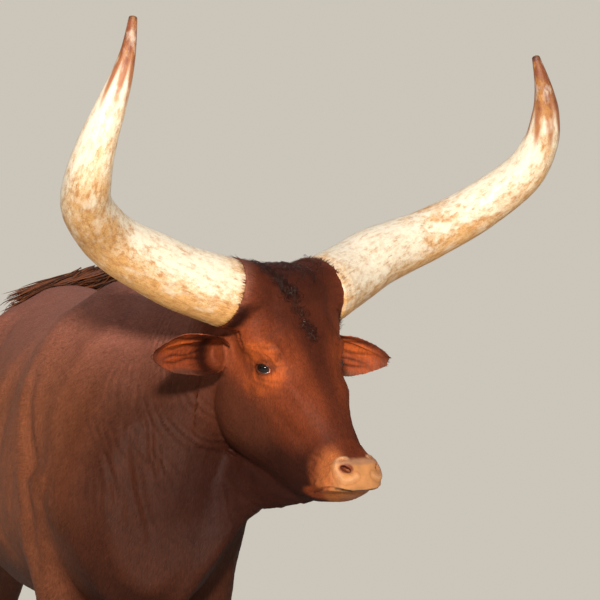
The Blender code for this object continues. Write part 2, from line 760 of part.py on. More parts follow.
NAPE_SEAM = (Vector((0.0, -0.098, -0.105)), Vector((0.0, 0.986, -0.164)))
JAW_SEAM = (Vector((0.0, -0.094, -0.345)), Vector((0.0, 0.480, 0.877)))
NECK_SEAM = (Vector((0.215, 0.0, 1.05)), Vector((0.935, 0.0, 0.355)))


def head_seams():
    """Points on the two cuts behind and below the head, with directions into the head."""
    return [(head_point(*point), head_direction(*normal)) for point, normal in (NAPE_SEAM, JAW_SEAM)]


def head_region(grow):
    """The space that the head fills in front of the nape cut and above the jaw cut."""
    item = head_block(1.0, -0.5, 0.5, (-0.5, 0.6), (-0.8, 0.6))
    for point, normal in head_seams():
        combine(item, [slab(point - normal * grow, -normal)], "DIFFERENCE")
    return item


def build_head(name):
    """The head with its stubs and ear roots cut flat and its features opened."""
    item = head_skin()
    thin_out(item, HEAD_TRIANGLES)
    item.name = name
    for point, normal in head_seams():
        combine(item, [slab(point + normal * GAP / 2, -normal)], "DIFFERENCE")
    for side in (1.0, -1.0):
        base, along = horn_base(side)
        combine(item, [slab(base - along * GAP, along, 0.5)], "DIFFERENCE")
        beyond = head_block(side, EAR_SEAM - GAP / 2, 0.4, (-0.25, 0.03), (-0.26, -0.080))
        combine(item, [beyond], "DIFFERENCE")
        cut_eye(item, side)
        cut_nostril(item, side)
    return cut_mouth(item)


def leg_region(place, grow):
    """The block that holds one leg below its cut, grown or shrunk a little."""
    side = side_of(place)
    if place.startswith("front"):
        low, high = (-0.10, 0.078, -0.10), (0.40, 0.45, 0.735)
        top = None
    else:
        low, high = (-1.50, 0.042, -0.10), (-0.66, 0.50, 1.05)
        top = (Vector((-0.66, 0.0, 0.74)), Vector((0.377, 0.0, 0.926)))
    low, high = Vector(low), Vector(high)
    low[1], high[1] = sorted((side * low[1], side * high[1]))
    edge = Vector((grow, grow, grow))
    item = block(low - edge, high + edge)
    if top:
        point, normal = top
        combine(item, [slab(point + normal * grow, normal, 3.0)], "DIFFERENCE")
    return item


def build_leg(body, place):
    """One leg cut from the body, flat above the hooves, with sockets for its dewclaws."""
    item = copy_of(body, "leg_" + place)
    combine(item, [leg_region(place, -GAP / 2)], "INTERSECT")
    floor = slab(Vector((0.0, 0.0, HOOF_HEIGHT + GAP)), Vector((0.0, 0.0, -1.0)))
    combine(item, [floor], "DIFFERENCE")
    for row, radii in dewclaws(place):
        socket = ellipsoid("Socket", row, [radius + GAP for radius in radii], None, 1)
        combine(item, [socket], "DIFFERENCE")
    return item


def dewclaws(place):
    """Places and sizes of the two dewclaws behind a fetlock."""
    section = leg_sections(place)[-3]
    back = section.bottom
    return [(Vector((back.x + 0.004, back.y + across, 0.118)), (0.013, 0.011, 0.017))
            for across in (-0.021, 0.021)]


def claw(place, inner):
    """One half of a cloven hoof, standing on a flat sole."""
    side = side_of(place)
    section = leg_sections(place)[-1]
    x, y = section.top.x - 0.072, section.top.y
    sign = -side if inner else side
    centre = y + sign * (HOOF_WIDTH / 2 + SOLE_GAP / 2)
    rows = (
        (0.000, 0.118, -0.010, 0.0260, 1.7, 2.4),
        (0.020, 0.108, -0.014, 0.0262, 1.7, 2.4),
        (0.045, 0.092, -0.022, 0.0262, 1.9, 2.4),
        (HOOF_HEIGHT, 0.073, -0.028, 0.0255, 2.2, 2.4),
    )
    sections = [Section(Vector((x + front, centre - sign * 0.35 * (front - 0.073) * 0.5, z)),
                        Vector((x + back, centre, z)), LEFT, half, 0.62, up, down)
                for z, front, back, half, up, down in rows]
    word = "inner" if inner else "outer"
    return loft("hoof_" + place + "_" + word, sections, 12)


def tail_points():
    """Centre line of the tail, flicked out to the left and up over the rump."""
    return smooth_path((
        (-1.170, 0.000, 1.262), (-1.245, 0.004, 1.268), (-1.318, 0.020, 1.232), (-1.372, 0.055, 1.170),
        (-1.405, 0.115, 1.122), (-1.418, 0.190, 1.112), (-1.405, 0.258, 1.158), (-1.368, 0.290, 1.238),
        (-1.312, 0.282, 1.304), (-1.248, 0.235, 1.348), (-1.195, 0.170, 1.366),
    ), 34)


def tail_radii():
    """Radius along the tail."""
    return smooth_values((0.038, 0.034, 0.029, 0.0245, 0.0215, 0.0195, 0.018, 0.0165, 0.015, 0.0135, 0.0125), 34)


def tail_piece(name, first, last, extra=0.0):
    """A length of the tail between two numbered points, its start set off by the gap or by extra."""
    points = tail_points()
    sections = tube_sections(points, [radius + extra for radius in tail_radii()])[first:last + 1]
    start = GAP if first > 0 else -extra
    along = (points[first + 1] - points[max(first - 1, 0)]).normalized()
    sections[0] = moved(sections[0], along * start)
    return loft(name, sections, 8)


def switch_path():
    """Centre line of the hair at the tail's end, thrown across the rump from left to right."""
    return smooth_path(((-1.195, 0.170, 1.366), (-1.150, 0.105, 1.372), (-1.105, 0.035, 1.368),
                        (-1.070, -0.045, 1.356), (-1.050, -0.125, 1.338)), 9)


def lock(path, widths, thickness, lean):
    """A flat tapered lock along points."""
    shape = bmesh.new()
    rings = []
    for index, point in enumerate(path[:-1]):
        along = (path[index + 1] - path[max(index - 1, 0)]).normalized()
        across = along.cross(UP).normalized()
        across = (across + UP * lean).normalized()
        across = (across - along * across.dot(along)).normalized()
        third = along.cross(across).normalized()
        width, thick = widths[index], thickness * (1.0 - 0.6 * index / len(path))
        corners = (across * width, third * thick, -across * width, -third * thick)
        rings.append([shape.verts.new(point + corner) for corner in corners])
    tip = shape.verts.new(path[-1])
    for first, second in zip(rings, rings[1:]):
        for step in range(4):
            after = (step + 1) % 4
            shape.faces.new((first[step], first[after], second[after], second[step]))
    for step in range(4):
        shape.faces.new((rings[-1][step], rings[-1][(step + 1) % 4], tip))
    shape.faces.new(rings[0])
    return from_bmesh("Lock", shape)


def clear_of(point, tree, distance):
    """Move a point out until it stands the given distance off a surface."""
    spot, normal, _, _ = tree.find_nearest(point)
    if (point - spot).dot(normal) < distance:
        return spot + normal * distance
    return point


def build_switch(name, torso):
    """The hair of the tail's end: flat locks round a short core, lying over the rump."""
    tree = BVHTree.FromObject(torso, bpy.context.evaluated_depsgraph_get())
    line = switch_path()
    points = tail_points()
    start = tube_sections(points, tail_radii())[-1]
    later = tube_sections(line[1:5], (0.020, 0.020, 0.014, 0.006), 1.0, start.side)
    start = moved(start, (points[-1] - points[-2]).normalized() * GAP)
    core = loft(name, [start] + later, 8)
    draws = random.Random(11)
    locks = []
    for index in range(16):
        first = draws.choice((0.6, 1.0, 1.6, 2.2, 2.8))
        last = min(8.0, first + draws.uniform(4.4, 6.4))
        angle = 2.0 * math.pi * index / 16 + draws.uniform(-0.2, 0.2)
        path = []
        for step in range(5):
            place = first + (last - first) * step / 4
            low = min(int(place), 7)
            point = line[low].lerp(line[low + 1], place - low)
            along = (line[low + 1] - line[low]).normalized()
            across = along.cross(UP).normalized()
            spread = 0.007 + 0.050 * (step / 4) ** 1.2
            wave = 0.006 * math.sin(step * 1.9 + index)
            offset = across * (math.cos(angle) * spread + wave) + UP * math.sin(angle) * spread * 0.40
            path.append(clear_of(point + offset, tree, 0.008 - 0.001 * step))
        widths = (0.010, 0.013, 0.012, 0.008)
        locks.append(lock(path, widths, 0.0042, draws.uniform(-0.5, 0.5)))
    return combine(core, locks, "UNION")


def shade(item, finish):
    """Give a node its material and smooth shading with sharp cut edges."""
    item.data.materials.clear()
    item.data.materials.append(material(finish))
    item.data.shade_smooth()
    item.data.set_sharp_from_angle(angle=math.radians(50.0))
    return item


def centre_on_floor(items):
    """Shift every node so that the origin is the middle of the whole box, on the floor."""
    lows = np.array([np.array([vertex.co for vertex in item.data.vertices]).min(axis=0) for item in items])
    highs = np.array([np.array([vertex.co for vertex in item.data.vertices]).max(axis=0) for item in items])
    low, high = lows.min(axis=0), highs.max(axis=0)
    shift = Vector((-(low[0] + high[0]) / 2, -(low[1] + high[1]) / 2, -low[2]))
    for item in items:
        item.data.transform(Matrix.Translation(shift))
    return shift


def build_neck(body):
    """The neck and dewlap between the shoulders, the nape and the jaw."""
    item = copy_of(body, "neck")
    point, normal = NECK_SEAM
    combine(item, [slab(point + normal * GAP / 2, -normal)], "DIFFERENCE")
    combine(item, [head_region(GAP / 2)], "DIFFERENCE")
    for place in ("front_left", "front_right"):
        combine(item, [leg_region(place, GAP / 2)], "DIFFERENCE")
    return item


def build_torso(body):
    """The trunk without its neck and legs, with a socket for the root of the tail."""
    item = copy_of(body, "torso")
    point, normal = NECK_SEAM
    combine(item, [slab(point - normal * GAP / 2, normal)], "DIFFERENCE")
    for place in LEG_SHIFTS:
        combine(item, [leg_region(place, GAP / 2)], "DIFFERENCE")
    return combine(item, [tail_piece("Socket", 0, 8, GAP)], "DIFFERENCE")


def feet(place):
    """The claws and dewclaws of one leg."""
    items = [claw(place, inner) for inner in (True, False)]
    for number, (spot, radii) in enumerate(dewclaws(place)):
        items.append(ellipsoid("dewclaw_%s_%d" % (place, number + 1), spot, radii, None, 1))
    return items


def tail_lengths():
    """The three lengths of the tail's cord."""
    spans = zip(("root", "middle", "end"), TAIL_SEAMS, TAIL_SEAMS[1:])
    return [tail_piece("tail_" + word, first, last) for word, first, last in spans]


def main():
    """Build every node and return the shift from the work frame."""
    clear_scene()
    body = thin_out(body_skin(), BODY_TRIANGLES)
    torso = build_torso(body)
    flesh = [torso, build_neck(body), build_head("head")]
    hooves = []
    for place in LEG_SHIFTS:
        flesh.append(build_leg(body, place))
        hooves += feet(place)
    drop(body)
    horns, eyes = [], []
    for side, word in ((1.0, "left"), (-1.0, "right")):
        flesh.append(ear(side, "ear_" + word))
        horns.append(horn(side, "horn_" + word))
        eyes.append(eye(side, "eye_" + word))
    flesh += tail_lengths()
    hair = [build_switch("tail_switch", torso)]
    finished = []
    for finish, items in (("hide", flesh), ("horn", horns), ("eye", eyes), ("hoof", hooves), ("hair", hair)):
        finished += [shade(item, finish) for item in items]
    return centre_on_floor(finished)


SHIFT = main()
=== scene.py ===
"""Studio scene of a life-size standing ankole-watusi, dressed over its fixed solids."""

import logging
import math
from dataclasses import dataclass
from enum import Enum

import bmesh
import bpy
import numpy as np
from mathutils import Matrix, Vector
from mathutils.bvhtree import BVHTree


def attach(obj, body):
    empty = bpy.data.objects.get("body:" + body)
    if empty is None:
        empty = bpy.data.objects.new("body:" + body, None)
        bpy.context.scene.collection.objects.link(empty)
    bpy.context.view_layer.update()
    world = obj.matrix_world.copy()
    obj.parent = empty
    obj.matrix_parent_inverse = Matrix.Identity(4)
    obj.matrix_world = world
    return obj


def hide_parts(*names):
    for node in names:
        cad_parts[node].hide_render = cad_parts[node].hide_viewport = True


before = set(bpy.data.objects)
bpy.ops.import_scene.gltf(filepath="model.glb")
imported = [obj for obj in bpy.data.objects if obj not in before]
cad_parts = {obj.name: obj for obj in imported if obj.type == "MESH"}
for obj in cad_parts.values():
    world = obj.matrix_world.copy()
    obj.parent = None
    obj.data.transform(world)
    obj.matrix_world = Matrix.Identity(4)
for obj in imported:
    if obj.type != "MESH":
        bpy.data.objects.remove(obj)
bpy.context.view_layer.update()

log = logging.getLogger("watusi")

FLESH = ("torso", "neck", "head", "ear_left", "ear_right", "leg_front_left", "leg_front_right",
         "leg_hind_left", "leg_hind_right", "tail_root", "tail_middle", "tail_end")
FEET = ("front_left", "front_right", "hind_left", "hind_right")
MIDDLE = -0.2947
COLLAR_FACING = (0.859, 0.382, 0.338)
HEAD_MIDDLE = (0.0, 0.06, -0.18)


class Side(Enum):
    """Sides of the animal, as a sign along its left."""

    LEFT = 1.0
    RIGHT = -1.0


class Hair(Enum):
    """Kinds of tuft, as the number of lengths each one is bent in."""

    STRAIGHT = 1
    CURLED = 4


def tone(red: float, green: float, blue: float) -> np.ndarray:
    """Linear colour from a colour as a screen shows it.

    Args:
        red, green, blue: Parts from 0 to 255.

    Returns:
        Three linear numbers.
    """
    parts = np.array((red, green, blue)) / 255.0
    return np.where(parts <= 0.04045, parts / 12.92, ((parts + 0.055) / 1.055) ** 2.4)


def ease(value: np.ndarray) -> np.ndarray:
    """A smooth step from 0 to 1."""
    value = np.clip(value, 0.0, 1.0)
    return value * value * (3.0 - 2.0 * value)


def unit(rows: np.ndarray) -> np.ndarray:
    """Each row at length one."""
    return rows / np.maximum(np.linalg.norm(rows, axis=-1, keepdims=True), 1e-9)


@dataclass(frozen=True)
class HeadAxes:
    """The head's own axes: left, forward and up from a point between the horns."""

    origin: tuple[float, float, float] = (0.6963, -0.04467, 1.38)
    turn: float = math.radians(35.0)

    def matrix(self) -> np.ndarray:
        """Rows that turn row-frame vectors into left, forward and up."""
        cosine, sine = math.cos(self.turn), math.sin(self.turn)
        return np.array(((-sine, cosine, 0.0), (cosine, sine, 0.0), (0.0, 0.0, 1.0)))

    def local(self, points: np.ndarray) -> np.ndarray:
        """Points of the row frame in head axes."""
        return (np.asarray(points, float) - np.array(self.origin)) @ self.matrix().T

    def at(self, rows: object) -> np.ndarray:
        """Points given in head axes, in the row frame."""
        return np.asarray(rows, float) @ self.matrix() + np.array(self.origin)

    def towards(self, left: float, forward: float, up: float) -> np.ndarray:
        """A direction given in head axes, in the row frame."""
        return unit(np.array((left, forward, up)) @ self.matrix())


HEAD = HeadAxes()


@dataclass(frozen=True)
class EarPlace:
    """Where both ears lie, in head axes."""

    root: float = 0.12
    length: float = 0.22
    forward: float = -0.02
    half_depth: float = 0.12
    level: float = -0.115
    droop: float = 0.0245
    tilt: float = 0.021

    def along(self, place: np.ndarray) -> np.ndarray:
        """Share of the ear's length at each point, from its root."""
        return (np.abs(place[:, 0]) - self.root) / self.length

    def level_at(self, place: np.ndarray) -> np.ndarray:
        """Height of the ear's middle line at each point."""
        return self.level - self.along(place) * (self.droop + self.tilt * np.sign(place[:, 0]))

    def beside(self, place: np.ndarray) -> np.ndarray:
        """True where a point lies in the ears' slice of the head, from front to back."""
        return np.abs(place[:, 1] - self.forward) < self.half_depth


EAR = EarPlace()


def blob(points: np.ndarray, centre: tuple, radii: tuple, soft: float = 1.0) -> np.ndarray:
    """How far points lie inside an ellipsoid with a soft edge.

    Args:
        points: Points in the axes that the centre is given in.
        centre: Middle of the ellipsoid.
        radii: Its three radii.
        soft: Width of the soft edge, as a share of the radii.

    Returns:
        One inside, falling to zero past the soft edge.
    """
    reach = np.linalg.norm((points - np.array(centre)) / np.array(radii), axis=1)
    return ease(1.0 - (reach - 1.0) / soft)


def points_of(mesh: bpy.types.Mesh) -> np.ndarray:
    """The mesh's points as rows.

    Args:
        mesh: The mesh.

    Returns:
        Rows of coordinates.
    """
    rows = np.empty(len(mesh.vertices) * 3)
    mesh.vertices.foreach_get("co", rows)
    return rows.reshape(-1, 3)


def normals_of(mesh: bpy.types.Mesh) -> np.ndarray:
    """The mesh's point normals as rows.

    Args:
        mesh: The mesh.

    Returns:
        Rows of unit vectors.
    """
    rows = np.empty(len(mesh.vertices) * 3)
    mesh.vertices.foreach_get("normal", rows)
    return rows.reshape(-1, 3)


def move_points(mesh: bpy.types.Mesh, points: np.ndarray) -> None:
    """Set the mesh's points from rows."""
    mesh.vertices.foreach_set("co", points.ravel())
    mesh.update()


def edges_of(mesh: bpy.types.Mesh) -> np.ndarray:
    """The mesh's edges as pairs of point numbers.

    Args:
        mesh: The mesh.

    Returns:
        Rows of two numbers.
    """
    rows = np.empty(len(mesh.edges) * 2, np.int32)
    mesh.edges.foreach_get("vertices", rows)
    return rows.reshape(-1, 2)


def triangle_mesh(name: str, points: np.ndarray, triangles: np.ndarray) -> bpy.types.Mesh:
    """A mesh made of triangles in one go.

    Args:
        name: Its name.
        points: Rows of points.
        triangles: Rows of three point numbers.

    Returns:
        The smooth shaded mesh.
    """
    mesh = bpy.data.meshes.new(name)
    count = len(triangles)
    mesh.vertices.add(len(points))
    mesh.vertices.foreach_set("co", np.asarray(points, np.float32).ravel())
    mesh.loops.add(count * 3)
    mesh.loops.foreach_set("vertex_index", triangles.ravel().astype(np.int32))
    mesh.polygons.add(count)
    mesh.polygons.foreach_set("loop_start", np.arange(count, dtype=np.int32) * 3)
    mesh.update(calc_edges=True)
    mesh.shade_smooth()
    return mesh


def placed(name: str, mesh: bpy.types.Mesh) -> bpy.types.Object:
    """The mesh as an object in the scene.

    Args:
        name: The object's name.
        mesh: Its mesh.

    Returns:
        The object.
    """
    item = bpy.data.objects.new(name, mesh)
    bpy.context.scene.collection.objects.link(item)
    return item


def applied(item: bpy.types.Object) -> bpy.types.Object:
    """The object with its modifiers made final.

    Args:
        item: The object.

    Returns:
        The same object.
    """
    graph = bpy.context.evaluated_depsgraph_get()
    mesh = bpy.data.meshes.new_from_object(item.evaluated_get(graph))
    item.modifiers.clear()
    item.data = mesh
    return item


def joined_nodes(name: str, nodes: tuple[str, ...]) -> bpy.types.Object:
    """A copy of several nodes' meshes as one object.

    Args:
        name: The object's name.
        nodes: Names of the nodes.

    Returns:
        The new object.
    """
    shape = bmesh.new()
    for node in nodes:
        shape.from_mesh(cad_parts[node].data)
    bmesh.ops.remove_doubles(shape, verts=shape.verts, dist=1e-5)
    mesh = bpy.data.meshes.new(name)
    shape.to_mesh(mesh)
    shape.free()
    return placed(name, mesh)


def remeshed(item: bpy.types.Object, voxel: float) -> bpy.types.Object:
    """The object as an even grid of small faces.

    Args:
        item: The object.
        voxel: Size of the faces.

    Returns:
        The same object with its new mesh.
    """
    grid = item.modifiers.new("Grid", "REMESH")
    grid.mode = "VOXEL"
    grid.voxel_size = voxel
    grid.use_smooth_shade = True
    return applied(item)


def relaxed(points: np.ndarray, edges: np.ndarray, rounds: int, weight: np.ndarray | float) -> np.ndarray:
    """Points smoothed along edges without shrinking.

    Args:
        points: Rows of points.
        edges: Pairs of point numbers.
        rounds: How many times to smooth.
        weight: How much each point may move, from 0 to 1.

    Returns:
        The smoothed points.
    """
    count = len(points)
    degree = np.maximum(np.bincount(edges.ravel(), minlength=count), 1)[:, None]
    share = np.broadcast_to(np.asarray(weight, float), (count,))[:, None]
    for step in range(rounds * 2):
        total = np.empty_like(points)
        for axis in range(3):
            column = points[:, axis]
            total[:, axis] = np.bincount(edges[:, 0], column[edges[:, 1]], count)
            total[:, axis] += np.bincount(edges[:, 1], column[edges[:, 0]], count)
        factor = 0.55 if step % 2 == 0 else -0.57
        points = points + factor * share * (total / degree - points)
    return points


def curve_through(rows: object, count: int) -> np.ndarray:
    """Evenly numbered points on a smooth curve through a few.

    Args:
        rows: The points that the curve passes.
        count: How many points to give.

    Returns:
        Rows of points.
    """
    rows = np.asarray(rows, float)
    if rows.ndim == 1:
        rows = rows[:, None]
    last = len(rows) - 1
    places = np.linspace(0.0, last, count)
    first = np.minimum(places.astype(int), last - 1)
    share = (places - first)[:, None]
    before = rows[np.maximum(first - 1, 0)]
    start, end = rows[first], rows[first + 1]
    after = rows[np.minimum(first + 2, last)]
    return 0.5 * (2.0 * start + (end - before) * share
                  + (2.0 * before - 5.0 * start + 4.0 * end - after) * share ** 2
                  + (3.0 * start - before - 3.0 * end + after) * share ** 3)


def tube(path: np.ndarray, radii: np.ndarray, sides: int, across: tuple = (0.0, 0.0, 1.0)) -> tuple:
    """A closed round tube along a path.

    Args:
        path: Rows of points.
        radii: Radius at each point.
        sides: How many sides it has.
        across: A direction that the first ring starts from.

    Returns:
        Points, triangles, and for each point its turn round the tube.
    """
    path = np.asarray(path, float)
    count = len(path)
    along = unit(np.gradient(path, axis=0))
    side = np.array(across, float)
    rings = []
    turns = np.arange(sides) * 2.0 * math.pi / sides
    for point, ahead, radius in zip(path, along, radii):
        side = unit(side - ahead * side.dot(ahead))
        third = np.cross(ahead, side)
        rings.append(point + radius * (np.cos(turns)[:, None] * side + np.sin(turns)[:, None] * third))
    points = np.vstack(rings + [path[:1], path[-1:]])
    here = np.arange(sides)
    after = (here + 1) % sides
    triangles = []
    for ring in range(count - 1):
        low, high = ring * sides, (ring + 1) * sides
        triangles.append(np.column_stack((low + here, low + after, high + after)))
        triangles.append(np.column_stack((low + here, high + after, high + here)))
    top = (count - 1) * sides
    triangles.append(np.column_stack((after, here, np.full(sides, count * sides))))
    triangles.append(np.column_stack((top + here, top + after, np.full(sides, count * sides + 1))))
    return points, np.vstack(triangles), np.append(np.tile(turns, count), (0.0, 0.0))


def paint(mesh: bpy.types.Mesh, name: str, colours: np.ndarray) -> None:
    """Store a colour at each point.

    Args:
        mesh: The mesh.
        name: Name of the layer.
        colours: Rows of three numbers, or one number for each point.
    """
    layer = mesh.attributes.new(name, "FLOAT_COLOR", "POINT")
    colours = np.asarray(colours, float)
    if colours.ndim == 1:
        colours = np.repeat(colours[:, None], 3, axis=1)
    full = np.ones((len(mesh.vertices), 4), np.float32)
    full[:, :3] = colours
    layer.data.foreach_set("color", full.ravel())


def store(mesh: bpy.types.Mesh, name: str, vectors: np.ndarray) -> None:
    """Store a vector at each point.

    Args:
        mesh: The mesh.
        name: Name of the layer.
        vectors: Rows of three numbers.
    """
    layer = mesh.attributes.new(name, "FLOAT_VECTOR", "POINT")
    layer.data.foreach_set("vector", np.asarray(vectors, np.float32).ravel())


def distance_to_line(points: np.ndarray, line: np.ndarray) -> tuple[np.ndarray, np.ndarray]:
    """Distance from points to a line of many short lengths.

    Args:
        points: Rows of points.
        line: Rows of points along the line.

    Returns:
        The distance, and the share of the line's length at the nearest place.
    """
    best = np.full(len(points), 1e9)
    share = np.zeros(len(points))
    last = len(line) - 1
    for index in range(last):
        start, step = line[index], line[index + 1] - line[index]
        place = np.clip((points - start) @ step / max(step @ step, 1e-12), 0.0, 1.0)
        away = np.linalg.norm(points - start - place[:, None] * step, axis=1)
        nearer = away < best
        best[nearer] = away[nearer]
        share[nearer] = (index + place[nearer]) / last
    return best, share


class NodeSheet:
    """A material's node sheet, with short calls for the nodes that the finishes use."""

    def __init__(self, name: str) -> None:
        """Start a material with its shader.

        Args:
            name: The material's name.
        """
        self.material = bpy.data.materials.new(name)
        self.material.use_nodes = True
        self.nodes = self.material.node_tree.nodes
        self.links = self.material.node_tree.links
        self.shader = self.nodes["Principled BSDF"]

    def wire(self, source: object, target: object) -> None:
        """Join an output to an input."""
        self.links.new(source, target)

    def value(self, socket: str, value: object) -> None:
        """Set one of the shader's own numbers or colours."""
        self.shader.inputs[socket].default_value = value

    def layer(self, name: str) -> bpy.types.Node:
        """A layer stored on the mesh.

        Args:
            name: The layer's name.

        Returns:
            The node that reads it.
        """
        node = self.nodes.new("ShaderNodeAttribute")
        node.attribute_name = name
        return node

    def place(self) -> object:
        """The object's own coordinates."""
        return self.nodes.new("ShaderNodeTexCoord").outputs["Object"]

    def scaled(self, source: object, scale: tuple, turn: tuple = (0.0, 0.0, 0.0)) -> object:
        """Coordinates stretched and turned.

        Args:
            source: The coordinates.
            scale: Three scales.
            turn: Three angles in degrees.

        Returns:
            The new coordinates.
        """
        node = self.nodes.new("ShaderNodeMapping")
        node.inputs["Scale"].default_value = scale
        node.inputs["Rotation"].default_value = [math.radians(angle) for angle in turn]
        self.wire(source, node.inputs["Vector"])
        return node.outputs["Vector"]

    def noise(self, source: object, scale: float, detail: float = 3.0, rough: float = 0.55) -> object:
        """Soft noise.

        Args:
            source: The coordinates.
            scale: How fine it is.
            detail: How many finer layers it has.
            rough: How strong the finer layers are.

        Returns:
            A value from 0 to 1.
        """
        node = self.nodes.new("ShaderNodeTexNoise")
        node.inputs["Scale"].default_value = scale
        node.inputs["Detail"].default_value = detail
        node.inputs["Roughness"].default_value = rough
        self.wire(source, node.inputs["Vector"])
        return node.outputs["Fac"]

    def cells(self, source: object, scale: float) -> object:
        """Distance within small irregular cells.

        Args:
            source: The coordinates.
            scale: How fine they are.

        Returns:
            The distance.
        """
        node = self.nodes.new("ShaderNodeTexVoronoi")
        node.inputs["Scale"].default_value = scale
        self.wire(source, node.inputs["Vector"])
        return node.outputs["Distance"]

    def ramp(self, source: object, stops: tuple) -> object:
        """Values turned into colours or other values.

        Args:
            source: The value.
            stops: Pairs of a place and a colour of three numbers, or a number.

        Returns:
            The colour.
        """
        node = self.nodes.new("ShaderNodeValToRGB")
        band = node.color_ramp
        while len(band.elements) < len(stops):
            band.elements.new(0.5)
        for element, (place, colour) in zip(band.elements, stops):
            parts = (colour,) * 3 if isinstance(colour, (int, float)) else tuple(colour)
            element.position = place
            element.color = (*parts, 1.0)
        self.wire(source, node.inputs["Fac"])
        return node.outputs["Color"]

    def mix(self, kind: str, share: object, first: object, second: object) -> object:
        """Two colours mixed.

        Args:
            kind: Blend type.
            share: A number, or an output.
            first: An output, or a colour.
            second: An output, or a colour.

        Returns:
            The mixed colour.
        """
        node = self.nodes.new("ShaderNodeMix")
        node.data_type = "RGBA"
        node.blend_type = kind
        for number, source in ((0, share), (6, first), (7, second)):
            if isinstance(source, bpy.types.NodeSocket):
                self.wire(source, node.inputs[number])
            elif number == 0:
                node.inputs[0].default_value = source
            else:
                node.inputs[number].default_value = (*source, 1.0)
        return node.outputs[2]

    def math(self, kind: str, first: object, second: object) -> object:
        """Two values reckoned together.

        Args:
            kind: Operation.
            first: An output, or a number.
            second: An output, or a number.

        Returns:
            The result.
        """
        node = self.nodes.new("ShaderNodeMath")
        node.operation = kind
        for number, source in enumerate((first, second)):
            if isinstance(source, bpy.types.NodeSocket):
                self.wire(source, node.inputs[number])
            else:
                node.inputs[number].default_value = source
        return node.outputs[0]

    def bump(self, height: object, distance: float, strength: float, under: object = None) -> object:
        """Small relief from a height.

        Args:
            height: The height.
            distance: Its size in metres.
            strength: How much of it shows.
            under: Relief that this one lies on.

        Returns:
            The normal.
        """
        node = self.nodes.new("ShaderNodeBump")
        node.inputs["Distance"].default_value = distance
        node.inputs["Strength"].default_value = strength
        self.wire(height, node.inputs["Height"])
        if under is not None:
            self.wire(under, node.inputs["Normal"])
        return node.outputs["Normal"]


@dataclass(frozen=True)
class HideFinish:
    """Short glossy coat over folded skin, with bare wet skin at the muzzle and eyes."""

    strand: float = 420.0
    pebbles: float = 420.0
    relief: float = 0.0006

    def material(self) -> bpy.types.Material:
        """The hide's material.

        Returns:
            The material.
        """
        sheet = NodeSheet("Hide")
        place = sheet.place()
        region = sheet.layer("Region")
        parts = sheet.nodes.new("ShaderNodeSeparateColor")
        sheet.wire(region.outputs["Color"], parts.inputs[0])
        along_head = sheet.scaled(place, (1.0, 0.7, 0.28), (0.0, 24.0, 0.0))
        along_body = sheet.scaled(place, (0.5, 1.0, 0.16), (0.0, -22.0, 0.0))
        head_grain = sheet.noise(along_head, self.strand, 3.0)
        leg_grain = sheet.noise(sheet.scaled(place, (1.0, 1.0, 0.12)), self.strand, 3.0)
        body_grain = sheet.noise(along_body, self.strand * 0.8, 3.0)
        grain = sheet.mix("MIX", parts.outputs[0], body_grain, head_grain)
        grain = sheet.mix("MIX", parts.outputs[1], grain, leg_grain)
        pebble = sheet.cells(place, self.pebbles)
        bare = sheet.layer("Bare").outputs["Fac"]
        height = sheet.mix("MIX", bare, grain, pebble)
        patch = sheet.noise(place, 26.0, 4.0)
        shade = sheet.ramp(patch, ((0.30, 0.80), (0.72, 1.16)))
        streak = sheet.ramp(grain, ((0.30, 0.70), (0.70, 1.28)))
        colour = sheet.mix("MULTIPLY", 1.0, sheet.layer("Markings").outputs["Color"], shade)
        streaked = sheet.mix("MULTIPLY", 1.0, colour, streak)
        colour = sheet.mix("MIX", bare, streaked, colour)
        sheet.wire(colour, sheet.shader.inputs["Base Color"])
        rough = sheet.ramp(bare, ((0.0, 0.62), (1.0, 0.36)))
        sheet.wire(rough, sheet.shader.inputs["Roughness"])
        sheet.value("Specular IOR Level", 0.10)
        broad = sheet.bump(sheet.noise(place, 30.0, 3.0), 0.0015, 0.2)
        sheet.wire(sheet.bump(height, self.relief, 0.75, broad), sheet.shader.inputs["Normal"])
        return sheet.material


@dataclass(frozen=True)
class TuftFinish:
    """Hair of the coat: the hide's colours, a little glossier along the strand."""

    name: str
    rough: float
    gloss: float

    def material(self) -> bpy.types.Material:
        """The tufts' material.

        Returns:
            The material.
        """
        sheet = NodeSheet(self.name)
        streak = sheet.ramp(sheet.noise(sheet.place(), 900.0, 2.0), ((0.3, 0.80), (0.7, 1.20)))
        colour = sheet.mix("MULTIPLY", 1.0, sheet.layer("Markings").outputs["Color"], streak)
        sheet.wire(colour, sheet.shader.inputs["Base Color"])
        sheet.value("Roughness", self.rough)
        sheet.value("Specular IOR Level", self.gloss)
        return sheet.material


